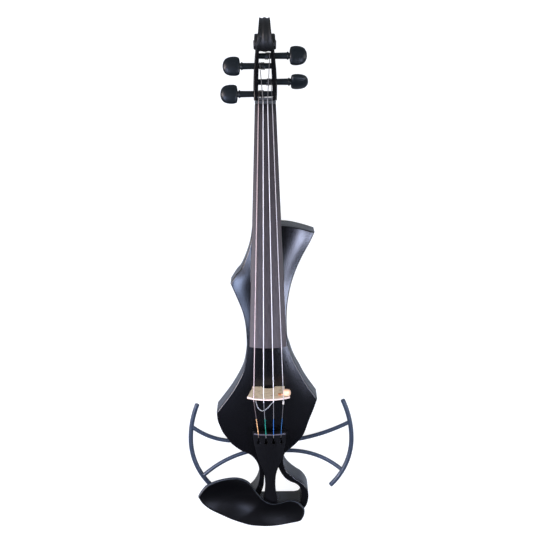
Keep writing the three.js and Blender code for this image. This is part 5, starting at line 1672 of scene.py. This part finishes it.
@dataclass
class Bridge:
    """The maple bridge, the pickup disc at one foot and its lead."""

    body: Body
    rope: RopeWork
    crown_half: float = 24.0
    foot_half: float = 18.6
    foot_inner: float = 7.4
    foot_height: float = 3.0
    arch: float = 5.5
    foot_thickness: float = 4.6
    crown_thickness: float = 1.5
    string_room: float = 0.65
    lean: float = 0.2
    pickup_x: float = 20.6
    pickup_fall: float = 5.5
    pickup_radius: float = 4.3
    pickup_depth: float = 6.2
    tab_length: float = 5.5
    tab_half: float = 2.6
    tab_thickness: float = 0.9
    clip_length: float = 3.2
    lead_radius: float = 0.45
    lead_points: tuple[Triple, ...] = (
        (16.4, -1.1, 45), (12.5, -1.4, 55), (7.2, -1.9, 63.5), (3.6, -5.2, 66.2), (-2.5, -11.6, 66.4),
        (-7.6, -13.9, 66.2), (-11.8, -10.6, 65.6), (-13.9, -5.2, 63.8), (-14.2, -2.2, 58), (-14.4, -2, 48),
        (-15.2, -4.4, 42), (-16, -6.4, 37.6), (-16, -6.8, 33.2))

    def crown(self, x: float) -> float:
        """Height of the curved edge under the strings."""
        return SETUP.bridge_height - SETUP.arc_drop(x) - self.string_room

    def sole(self, x: float) -> float:
        """Height of the feet's underside."""
        return self.body.belly(x, self.foot_thickness / 2) + SETUP.clearance

    def face(self, z: float) -> float:
        """Place of the face towards the scroll, at a height."""
        low = self.sole(self.foot_half)
        return self.lean + mix(self.foot_thickness, self.crown_thickness, (z - low) / (self.crown(0) - low))

    def outline(self) -> list[Vector]:
        """Return the bridge's outline, with x across and y up.

        Returns:
            The closed run of points.
        """
        crown, sole = self.crown, self.sole
        half = [Vector((x, crown(x), 0)) for x in spread(0, self.crown_half, 20)]
        wing = self.crown_half - self.foot_height * 0.3
        waist = [Vector((self.crown_half, crown(self.crown_half), 0)),
                 Vector((wing, crown(self.crown_half) - self.foot_height, 0)),
                 Vector((mix(wing, self.foot_half, 0.45), mix(crown(wing), sole(self.foot_half), 0.45), 0)),
                 Vector((self.foot_half - 0.4, sole(self.foot_half) + self.foot_height + 1, 0)),
                 Vector((self.foot_half, sole(self.foot_half), 0))]
        half += curve_points(waist, 5)[1:]
        half += [Vector((x, sole(x), 0)) for x in spread(self.foot_half, self.foot_inner, 6)[1:]]
        for angle in spread(0, math.pi / 2, 12)[1:]:
            half.append(Vector((self.foot_inner * math.cos(angle),
                                sole(self.foot_inner) + self.arch * math.sin(angle), 0)))
        return half + [Vector((-p.x, p.y, 0)) for p in reversed(half[1:-1])]

    def plate(self) -> Object:
        """Make the bridge, thinner towards its crown.

        Returns:
            The object.
        """
        shape = Outline([self.outline()])
        loop = shape.loops[0]
        low = min(p.y for p in loop)
        high = max(p.y for p in loop)
        skin = Skin()
        faces = []
        for way in (0, 1):
            ring = []
            for p in loop:
                thickness = mix(self.foot_thickness, self.crown_thickness, (p.y - low) / (high - low))
                ring.append(Vector((p.x, p.y, self.lean + way * thickness)))
            faces.append(skin.ring(ring))
        skin.join(faces[0], faces[1])
        for ring in faces:
            shape.fill(skin, [ring], lambda _x, _y: 0.0, 0)
        skin.points = [Vector((p.x, p.z, p.y)) for p in skin.points]
        return soften(skin.make("bridge_plate", 32.0), 0.3, 2, 40.0)

    def disc_place(self) -> Vector:
        """Middle of the pickup's back, just clear of the bridge's face."""
        z = self.crown(self.pickup_x) - self.pickup_fall
        return Vector((self.pickup_x, self.face(z - self.pickup_radius) + SETUP.clearance, z))

    def disc(self) -> Object:
        """Make the domed pickup under the bridge's crown."""
        profile = [(self.pickup_radius - 0.2, 0.0), (self.pickup_radius, 0.2)]
        for angle in spread(0, math.pi / 2, 12):
            profile.append((self.pickup_radius * math.cos(angle) ** 0.7 + 0.05,
                            self.pickup_depth * mix(0.4, 1, math.sin(angle))))
        turn = Matrix.Translation(self.disc_place()) @ Matrix.Rotation(-math.pi / 2, 4, "X")
        return lathe(profile).move(turn).make("pickup_disc_piece", 40.0)

    def tab(self, name: str, start: float, end: float, swell: float) -> Object:
        """Make one run of the flat tab beside the pickup.

        Args:
            name: the piece's name.
            start: its near end, from the pickup's middle.
            end: its far end.
            swell: how much thicker and wider it is than the tab.

        Returns:
            The piece.
        """
        x, y, z = self.disc_place()
        half = self.tab_half + swell - 0.4
        low = (x - end, y - min(swell, 0.2), z - half)
        return soften(block(name, low, (x - start, y + self.tab_thickness + swell, z + half)), 0.3, 3)

    def build(self) -> None:
        """Make the bridge, the pickup with its tab and clip, and the lead."""
        place_piece(self.plate(), "maple", "maple", ["bridge"])
        place_piece(self.disc(), "ceramic", "pickup_ceramic", ["pickup_disc"])
        clip_start = self.pickup_radius + self.tab_length - self.clip_length
        tab = self.tab("pickup_tab", 0.0, clip_start, 0.0)
        place_piece(tab, "ceramic", "pickup_ceramic")
        clip = self.tab("pickup_clip", clip_start, clip_start + self.clip_length, 0.15)
        place_piece(clip, "clip", "pickup_ceramic")
        path = curve_points([Vector(p) for p in self.lead_points], 8)
        lead = self.rope.tube("lead", path, self.lead_radius, "lead", 14)
        place_piece(lead, "lead", "lead_sheath", ["pickup_lead"])


# Tailpiece and its loop


@dataclass
class Tailpiece:
    """The tapering tailpiece with keyholes, its fret, the saddle, the button and the loop."""

    rope: RopeWork
    top: float = 44.0
    length: float = 96.0
    head_height: float = 54.2
    end_height: float = 44.0
    thickness: float = 4.6
    arch: float = 3.6
    centre: float = 0.9
    half_width: float = 19.6
    fret_offset: float = 3.6
    fret_width: float = 1.4
    fret_height: float = 1.1
    keyhole_offset: float = 14.2
    keyhole_radius: float = 2.1
    slot_half: float = 0.85
    slot_length: float = 7.0
    loop_radius: float = 1.0
    loop_half: float = 2.7
    loop_reach: float = 6.0
    button_neck: float = 3.4
    button_height: float = 19.0
    button_radius: float = 6.0
    button_shank: float = 3.2
    saddle_height: float = 2.4
    loop_air: float = 1.8
    widths: tuple[Row, ...] = (
        (0, 1), (0.06, 0.985), (0.19, 0.9), (0.38, 0.675), (0.5, 0.45), (0.58, 0.345), (0.71, 0.305),
        (0.82, 0.34), (0.91, 0.41), (0.97, 0.41), (1, 0.28))

    @property
    def slot_end(self) -> float:
        """Place along the body of the keyholes' narrow ends, where the strings come up."""
        return self.place(self.keyhole_offset - self.slot_length + self.slot_half)

    def string_x(self, share: float) -> float:
        """Place across the body of a string at the tailpiece."""
        return self.centre + share * SETUP.tail_spread

    def place(self, distance: float) -> float:
        """Place along the body at a distance from the tailpiece's head."""
        return -self.top - distance

    def face(self, y: float, x: float) -> float:
        """Height of the tailpiece's face."""
        across = (x - self.centre) / self.half_width
        share = (-self.top - y) / self.length
        return mix(self.head_height, self.end_height, share) - self.arch * across * across

    def half(self, y: float) -> float:
        """Half width of the tailpiece."""
        return along(self.widths, (-self.top - y) / self.length) * self.half_width

    def blank(self) -> Object:
        """Make the tailpiece with its keyholes.

        Returns:
            The object.
        """
        rows, steps, dip_depth, dip_run = 60, 20, 2.4, 3.5
        rings = []
        for distance in spread(0, self.length, rows):
            y = self.place(distance)
            half = self.half(y)
            dip = dip_depth * (1 - smooth(0, dip_run, distance))
            face = []
            for share in spread(-1, 1, steps):
                x = self.centre + share * half
                face.append(Vector((x, y - dip * (1 - share * share), self.face(y, x))))
            rings.append(face + [point - Vector((0, 0, self.thickness)) for point in reversed(face)])
        body = Skin().loft(rings).make("tailpiece_blank", 40.0)
        cutters = []
        for share in STRING_SHARES:
            x, y, half = self.string_x(share), self.place(self.keyhole_offset), self.slot_half
            low, high = self.face(y, x) - self.thickness - 2, self.face(y, x) + 4
            cutters.append(rod("keyhole", (x, y, low), (x, y, high), self.keyhole_radius, 32))
            cutters.append(block("slot", (x - half, y, low), (x + half, y + self.slot_length, high)))
        carve(body, cutters)
        return soften(body, 0.45, 2, 40.0)

    def fret(self) -> Object:
        """Make the bar that the strings cross.

        Returns:
            The object.
        """
        y = self.place(self.fret_offset)
        half = self.half(y) - self.fret_width
        xs = spread(self.centre - half, self.centre + half, 24)
        rings = []
        for edge in (y - self.fret_width / 2, y + self.fret_width / 2):
            ring = [Vector((x, edge, self.face(y, x) + self.fret_height)) for x in xs]
            ring += [Vector((x, edge, self.face(y, x) - 0.2)) for x in reversed(xs)]
            rings.append(ring)
        return soften(Skin().loft(rings).make("fret_bar"), 0.4, 3)

    def loop_end(self, side: int, reach: float) -> Vector:
        """Return a place on the straight end of the loop, in the tailpiece."""
        y = self.place(self.length) + reach
        x = side * self.loop_half
        return Vector((x, y, self.face(y, x) - self.thickness / 2))

    def loop(self) -> Object:
        """Lead the loop over the saddle and round the button.

        Returns:
            The object.
        """
        over = SETUP.leg_top + self.saddle_height + self.loop_radius + SETUP.clearance
        back = SETUP.tail - SETUP.clearance - self.loop_air
        ring = self.button_neck + self.loop_radius + SETUP.clearance
        half, low = self.loop_half, self.button_height
        diagonal = ring * math.sqrt(0.5)

        def side(way: int) -> list[Vector]:
            return [
                *(self.loop_end(way, reach) for reach in spread(self.loop_reach, 0, 2)),
                Vector((way * half, SETUP.tail + 6, over)),
                Vector((way * (half + 0.3), SETUP.tail, over)),
                Vector((way * mix(half, ring, 0.5), back, mix(over, low, 0.3))),
                Vector((way * ring, back, mix(over, low, 0.75))),
                Vector((way * ring, back, low)),
                Vector((way * diagonal, back, low - diagonal)),
            ]

        points = [*side(1), Vector((0, back, low - ring)), *reversed(side(-1))]
        return self.rope.tube("tail_gut", curve_points(points, 8), self.loop_radius, "abs", 14)

    def button(self) -> Object:
        """Turn the end button."""
        face = SETUP.tail - SETUP.clearance
        shank = self.button_shank
        profile = [(shank, 9.0 + SETUP.tail - face), (shank, 0), (3.4, -0.2), (3.3, -3.2)]
        for angle in spread(0, math.pi, 8):
            radius = mix(3.6, self.button_radius, abs(math.sin(angle)) ** 0.5)
            profile.append((radius, -3.6 - 4.9 * (1 - math.cos(angle)) / 2))
        turn = Matrix.Translation((0, face, self.button_height)) @ Matrix.Rotation(-math.pi / 2, 4, "X")
        return lathe(profile).move(turn).make("button_turned", 50.0)

    def build(self) -> None:
        """Make the tailpiece and what holds it."""
        place_piece(self.blank(), "tail", "black_plastic", ["tailpiece"])
        place_piece(self.fret(), "fret", "black_plastic", ["tailpiece_fret"])
        place_piece(self.loop(), "abs", "black_plastic", ["tail_loop"])
        place_piece(self.button(), "trim", "ebony", ["end_button"])
        place_piece(refine("saddle", 0.6), "trim", "ebony", ["saddle"])


# Chin rest


@dataclass
class ChinRest:
    """The dished rest, its feet on cork, and the clamp behind it."""

    width: float = 123.0
    depth: float = 62.8
    centre_x: float = -20.0
    centre_y: float = -143.0
    rim: float = 52.0
    fall: float = 5.0
    edge: float = 5.2
    cup_depth: float = 9.0
    throat_depth: float = 2.6
    lobe_depth: float = 2.6
    bowl_power: float = 1.5
    shell: float = 4.6
    foot_half: float = 4.0
    cork_thickness: float = 1.2
    lip_scale: float = 0.972
    lip_reach: float = 0.028
    # Rings of the rim's rounding that carry the painted highlight
    highlight_rings: tuple[int, int] = (6, 7)
    shares: tuple[Row, ...] = (
        (-0.507, 0.316), (-0.444, 0.49), (-0.377, 0.567), (-0.301, 0.618), (-0.207, 0.652), (-0.132, 0.65),
        (-0.067, 0.609), (-0.02, 0.539), (0.016, 0.429), (0.054, 0.328), (0.091, 0.238), (0.147, 0.156),
        (0.203, 0.124), (0.26, 0.134), (0.317, 0.16), (0.373, 0.168), (0.43, 0.127), (0.467, 0.057),
        (0.491, -0.015), (0.493, -0.115), (0.476, -0.2), (0.448, -0.255), (0.353, -0.283), (0.259, -0.303),
        (0.163, -0.311), (0.068, -0.305), (-0.027, -0.283), (-0.121, -0.224), (-0.215, -0.151),
        (-0.309, -0.058), (-0.402, 0.04), (-0.467, 0.147), (-0.498, 0.24))

    def bowl(self, x: float, y: float, centre: Row, half: Row) -> float:
        """Return how far a place lies into a round hollow, from 0 at its edge to 1."""
        dx = (x - centre[0]) / half[0]
        dy = (y - centre[1]) / half[1]
        return max(0.0, 1 - dx * dx - dy * dy) ** self.bowl_power

    def rim_height(self, x: float) -> float:
        """Height of the rim, lower over the right lobe."""
        return self.rim - self.fall * smooth(0.12, 0.5, x / self.width)

    def dish(self, x: float, y: float) -> float:
        """Depth of the hollows below the rim."""
        cup = self.bowl(x / self.width, y / self.depth, (-0.235, 0.22), (0.31, 0.4))
        throat = self.bowl(x / self.width, y / self.depth, (0.02, 0.0), (0.32, 0.31))
        lobe = self.bowl(x / self.width, y / self.depth, (0.28, -0.07), (0.23, 0.25))
        return self.cup_depth * cup + self.throat_depth * throat + self.lobe_depth * lobe

    def dished_shell(self) -> Object:
        """Make the dished shell with a narrow rounded rim, marked where the rim carries a painted highlight.

        Returns:
            The object.
        """
        loop = curve_points([Vector((x * self.width, y * self.depth, 0)) for x, y in self.shares], 6, True)

        def ring(scale: float, height: Height) -> list[Vector]:
            points = []
            for p in loop:
                x, y = p.x * scale, p.y * scale
                points.append(Vector((self.centre_x + x, self.centre_y + y, height(x, y))))
            return points

        def inner(x: float, y: float) -> float:
            return self.rim_height(x) - self.dish(x, y)

        rings = [ring(k / 10, lambda x, y: inner(x, y) - self.shell) for k in range(2, 10)]
        rings.append(ring(0.955, lambda x, _y: self.rim_height(x) - self.edge))
        start = len(rings)
        for angle in spread(-math.pi / 2, math.pi / 2, 8):
            scale = self.lip_scale + self.lip_reach * math.cos(angle)
            lift = 0.5 + 0.5 * math.sin(angle)
            rings.append(ring(scale, lambda x, _y, lift=lift: self.rim_height(x) - self.edge * (1 - lift)))
        rings += [ring(scale, inner) for scale in spread(0.965, 0.05, 28)]
        obj = Skin().loft(rings).make("chin_shell", 50.0)
        # Points on the rim that carry the painted highlight
        rubbed = range((start + self.highlight_rings[0]) * len(loop), (start + self.highlight_rings[1]) * len(loop))
        rim = obj.data.attributes.new("rim", "FLOAT", "POINT")
        rim.data.foreach_set("value", [float(i in rubbed) for i in range(len(obj.data.vertices))])
        return obj

    def build(self) -> None:
        """Make the rest, its feet, the cork and the clamp."""
        place_piece(self.dished_shell(), "chin", "chin_black", ["chinrest"])
        y = SETUP.tail + self.foot_half + SETUP.clearance
        low = SETUP.leg_top + self.cork_thickness + SETUP.clearance * 2
        for side, x, width in (("left", -34.0, 16.0), ("right", 24.0, 14.0)):
            local = x + width / 2 - self.centre_x
            high = self.rim_height(local) - self.dish(local, y - self.centre_y) - self.shell / 2
            corners = (x, y - self.foot_half, low), (x + width, y + self.foot_half, high)
            foot = block(f"chin_foot_{side}", *corners)
            place_piece(soften(foot, 1.0, 3), "chin", "chin_black")
            pad = f"chinrest_cork_{side}"
            place_piece(refine(pad, 0.25), "cork", "cork", [pad])
        for node, width, body in (
            ("clamp_plate", 0.35, ROOT_BODY), ("clamp_foot", 0.35, "foot_body"),
            ("clamp_barrel_left", 0.3, "barrel_left_body"), ("clamp_barrel_right", 0.3, "barrel_right_body"),
        ):
            place_piece(refine(node, width), "nickel", "steel", [node], body)


# Wings


@dataclass(frozen=True)
class StrutPlace:
    """A strut's side, its share along the wing, its place in the body and its bow."""

    name: str
    side: int
    wing: float
    body: Row
    bow: float


@dataclass
class Wings:
    """Two bent tubes beside the lower body, each on two struts."""

    rope: RopeWork
    tube_radius: float = 2.7
    strut_radius: float = 2.35
    height: float = 7.0
    half_span: float = 95.4
    waist: float = -73.0
    centre_x: float = 2.6
    turn: float = 1.2
    upper_radius: float = 120.0
    lower_radius: float = 83.0
    upper_reach: float = 47.5
    lower_reach: float = 60.5
    struts: tuple[StrutPlace, ...] = (
        StrutPlace("left_upper", -1, -0.408, (-0.467, -0.2093), -0.1076),
        StrutPlace("left_lower", -1, 0.679, (-0.19, -0.2433), 0.0772),
        StrutPlace("right_upper", 1, -0.406, (0.35, -0.2128), 0.0478),
        StrutPlace("right_lower", 1, 0.646, (0.19, -0.25), -0.1122),
    )

    def point(self, side: int, share: float) -> Vector:
        """Return a place on a wing's middle line, from -1 at its upper end to 1 at its lower.

        Args:
            side: -1 for the left wing, 1 for the right.
            share: how far along.

        Returns:
            The place.
        """
        radius = self.upper_radius if share < 0 else self.lower_radius
        reach = self.upper_reach if share < 0 else self.lower_reach
        angle = abs(share) * math.asin(reach / radius)
        turn = math.radians(self.turn)
        wide = side * (self.half_span - radius * (1 - math.cos(angle)))
        rise = -math.copysign(1, share) * radius * math.sin(angle)
        return Vector((
            self.centre_x + wide * math.cos(turn) - rise * math.sin(turn),
            self.waist + rise + wide * math.sin(turn), self.height))

    def arc(self, side: int) -> list[Vector]:
        """Return the middle line of one wing."""
        return [self.point(side, share) for share in spread(-1, 1, 48)]

    def strut(self, place: StrutPlace) -> list[Vector]:
        """Return the bowed middle line of one strut, from its wing into the body.

        Args:
            place: which strut.

        Returns:
            The points.
        """
        outer = self.point(place.side, place.wing)
        inner = Vector((
            place.body[0] * SETUP.body_half_width, place.body[1] * SETUP.body_length, self.height))
        run = inner - outer
        middle = (outer + inner) / 2 + 2 * place.bow * Vector((-run.y, run.x, 0))
        shares = spread(0, 1, 28)
        return [(1 - t) ** 2 * outer + 2 * t * (1 - t) * middle + t**2 * inner for t in shares]

    def build(self) -> None:
        """Bend the wings and their struts."""
        for name, side in (("left", -1), ("right", 1)):
            wing = self.rope.tube(f"wing_{name}_tube", self.arc(side), self.tube_radius, "tube", 32)
            place_piece(soften(wing, 0.5, 2, 50.0), "tube", "grey_tube", [f"wing_{name}"])
        for place in self.struts:
            node = f"strut_{place.name}"
            strut = self.rope.tube(f"{node}_tube", self.strut(place), self.strut_radius, "tube", 28)
            place_piece(strut, "tube", "grey_tube", [node])


# Electronics


@dataclass
class Controls:
    """What the back and the ribs hold: battery, door, panel, knobs, sockets and screws."""

    round_edge: float = 0.25
    fine_edge: float = 0.1

    def build(self) -> None:
        """Dress every piece of the electronics."""
        moving = {"battery_door": "door_body", "volume_knob": "volume_body", "tone_knob": "tone_body"}
        screws = tuple(f"panel_screw_{number}" for number in range(1, 5))
        cases = ("battery_door", "control_panel", "volume_knob", "tone_knob", "phones_jack", "battery_clip")
        for finish, slot, width, nodes in (
            ("abs", "black_plastic", self.round_edge, cases),
            ("foil", "battery_shell", self.round_edge, ("battery",)),
            ("green", "green_board", self.round_edge, ("circuit_board",)),
            ("nickel", "steel", self.round_edge, ("volume_pot", "tone_pot", "output_jack")),
            ("steel", "steel", self.fine_edge, ("door_pin",)),
            ("bone", "bone", self.fine_edge, ("string_sleeve",)),
            ("steel", "steel", self.round_edge, screws),
        ):
            for node in nodes:
                place_piece(refine(node, width), finish, slot, [node], moving.get(node, ROOT_BODY))


# Studio


@dataclass(frozen=True)
class SoftBox:
    """One soft light: place and size in metres, power in watts, and whether gloss mirrors it.

    A panel with a turn in degrees hangs level; one without looks at the instrument.
    """

    name: str
    place: Triple
    size: Row
    power: float
    colour: str = "ffffff"
    mirrored: bool = True
    turn: float | None = None


@dataclass
class Studio:
    """Pale floor, soft lights and the camera of the photograph."""

    camera_place: Triple = (-0.702, 401.19, 1146.04)
    camera_tilt: float = 13.0
    camera_roll: float = -0.624
    focal_pixels: float = 1023.29
    frame_pixels: float = 533.0
    sensor: float = 36.0
    floor_size: float = 6000.0
    floor_drop: float = 0.4
    floor_colour: str = "777e8a"
    floor_glow: float = 0.8
    floor_gloss: float = 0.11
    floor_roughness: float = 0.9
    ceiling: float = 0.032
    walls: float = 0.38
    # Where the view fades from bright wall to dim ceiling as it rises, and as it turns to the tail
    ceiling_band: Row = (0.5, 0.82)
    tail_band: Row = (0.1, -0.45)
    target: Triple = (0.0, 0.05, 0.03)
    boxes: tuple[SoftBox, ...] = (
        SoftBox("left horn strip", (-0.43, 0.0, 0.6), (0.18, 0.3), 3.8, "b9cbf6", turn=-14.0),
        SoftBox("right horn strip", (0.32, -0.05, 0.6), (0.08, 0.19), 2.0, "d2dafa", turn=35.0),
        SoftBox("left side box", (-1.4, 0.2, 1.0), (0.35, 0.8), 26.0, "fff0ec"),
        SoftBox("right side box", (1.4, 0.15, 0.95), (0.35, 1.1), 9.0),
        SoftBox("head fill", (0.0, 1.7, 1.1), (1.4, 0.8), 11.0, "ffffff", False),
        SoftBox("fill", (0.0, 0.1, 2.2), (2.0, 2.0), 40.0, "ffffff", False),
    )
    ceiling_colour: str = "a9bdd0"
    wall_colour: str = "f2f4f8"

    def camera(self) -> None:
        """Set the camera over the instrument."""
        data = bpy.data.cameras.new("camera")
        data.sensor_width = self.sensor
        data.lens = self.sensor * self.focal_pixels / self.frame_pixels
        data.clip_end = 100.0
        camera = show("camera", data)
        tilt, roll = math.radians(self.camera_tilt), math.radians(self.camera_roll)
        view = Vector((0, -math.sin(tilt), -math.cos(tilt)))
        right = view.cross(Vector((0, 1, 0))).normalized()
        up = right.cross(view)
        turned_right = right * math.cos(roll) + up * math.sin(roll)
        turned_up = up * math.cos(roll) - right * math.sin(roll)
        matrix = Matrix((turned_right, turned_up, -view)).transposed().to_4x4()
        matrix.translation = Vector(self.camera_place) * MM
        camera.matrix_world = matrix
        bpy.context.scene.camera = camera

    def floor(self) -> None:
        """Lay the pale floor: white to the camera and in reflections, with a soft shadow."""
        half, drop = self.floor_size / 2, self.floor_drop
        skin = Skin()
        corners = ((-half, -half), (half, -half), (half, half), (-half, half))
        skin.faces.append(tuple(skin.ring([Vector((x, y, -drop)) for x, y in corners])))
        floor = show("floor", skin.mesh("floor"))
        material = bpy.data.materials.new("pale studio floor")
        material.use_nodes = True
        tree = material.node_tree
        rays = add_node(tree, "ShaderNodeLightPath").outputs
        seen = add_node(tree, "ShaderNodeMath", {
            0: rays["Is Camera Ray"], 1: rays["Is Glossy Ray"]}, operation="MAXIMUM")
        every = add_node(tree, "ShaderNodeMath", {
            0: seen, 1: rays["Is Transmission Ray"]}, operation="MAXIMUM")
        seen_glow = add_node(tree, "ShaderNodeMath", {
            0: rays["Is Camera Ray"], 1: self.floor_glow}, operation="MULTIPLY")
        glow = add_node(tree, "ShaderNodeMath", {
            0: every, 1: self.floor_gloss, 2: seen_glow}, operation="MULTIPLY_ADD")
        wire(tree, first_node(tree, "BSDF_PRINCIPLED"), {
            "Base Color": linear(self.floor_colour), "Roughness": self.floor_roughness,
            "Specular IOR Level": 0.0, "Emission Color": (1, 1, 1, 1), "Emission Strength": glow})
        floor.data.materials.append(material)

    def world(self) -> None:
        """Fill the room with pale light: bright walls and a dim, cool ceiling."""
        world = bpy.data.worlds.new("studio")
        world.use_nodes = True
        bpy.context.scene.world = world
        tree = world.node_tree
        view = add_node(tree, "ShaderNodeTexCoord").outputs["Generated"]
        parts = add_node(tree, "ShaderNodeSeparateXYZ", {"Vector": view}).outputs
        fades = [
            add_node(tree, "ShaderNodeMapRange", {
                "Value": parts[axis], "From Min": band[0], "From Max": band[1]},
                interpolation_type="SMOOTHSTEP")
            for axis, band in (("Z", self.ceiling_band), ("Y", self.tail_band))]
        dim = add_node(tree, "ShaderNodeMath", {0: fades[0], 1: fades[1]}, operation="MAXIMUM")
        camera_ray = add_node(tree, "ShaderNodeLightPath").outputs["Is Camera Ray"]
        colour = add_node(tree, "ShaderNodeMix", {
            "Factor": dim, "A": linear(self.wall_colour), "B": linear(self.ceiling_colour)}, data_type="RGBA")
        seen = add_node(tree, "ShaderNodeMix", {
            "Factor": camera_ray, "A": rgba(colour), "B": (1.0, 1.0, 1.0, 1.0)}, data_type="RGBA")
        lit = add_node(tree, "ShaderNodeMapRange", {
            "Value": dim, "To Min": self.walls, "To Max": self.ceiling})
        strength = add_node(tree, "ShaderNodeMapRange", {"Value": camera_ray, "To Min": lit, "To Max": 1.0})
        wire(tree, first_node(tree, "BACKGROUND"), {"Color": rgba(seen), "Strength": strength})

    def softbox(self, box: SoftBox) -> None:
        """Hang one soft light that looks at the middle of the instrument.

        Args:
            box: the light's place, size, power and colour.
        """
        data = bpy.data.lights.new(box.name, "AREA")
        data.shape = "RECTANGLE"
        data.size, data.size_y = box.size
        data.energy = box.power
        data.color = linear(box.colour)[:3]
        light = show(box.name, data)
        light.location = box.place
        if box.turn is None:
            view = Vector(self.target) - Vector(box.place)
            light.rotation_euler = view.to_track_quat("-Z", "Y").to_euler()
        else:
            light.rotation_euler = (0, 0, math.radians(box.turn))
        light.visible_glossy = box.mirrored

    def build(self) -> None:
        """Set up floor, world, lights and camera."""
        bpy.context.scene.view_settings.view_transform = "Standard"
        self.camera()
        self.floor()
        self.world()
        for box in self.boxes:
            self.softbox(box)


def main() -> None:
    """Build the studio, then the instrument from its body outwards."""
    logging.basicConfig(level=logging.INFO, format="%(name)s: %(message)s")
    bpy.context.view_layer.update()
    MATERIALS.update({key: finish.build() for key, finish in FINISHES.items()})
    Studio().build()
    rope = RopeWork()
    body = Body()
    body.build()
    neck = Neck()
    neck.build()
    Fingerboard().build()
    tail = Tailpiece(rope)
    tail.build()
    Pegs(neck, rope, tail).build()
    Bridge(body, rope).build()
    ChinRest().build()
    Wings(rope).build()
    Controls().build()


if __name__ == "__main__":
    main()
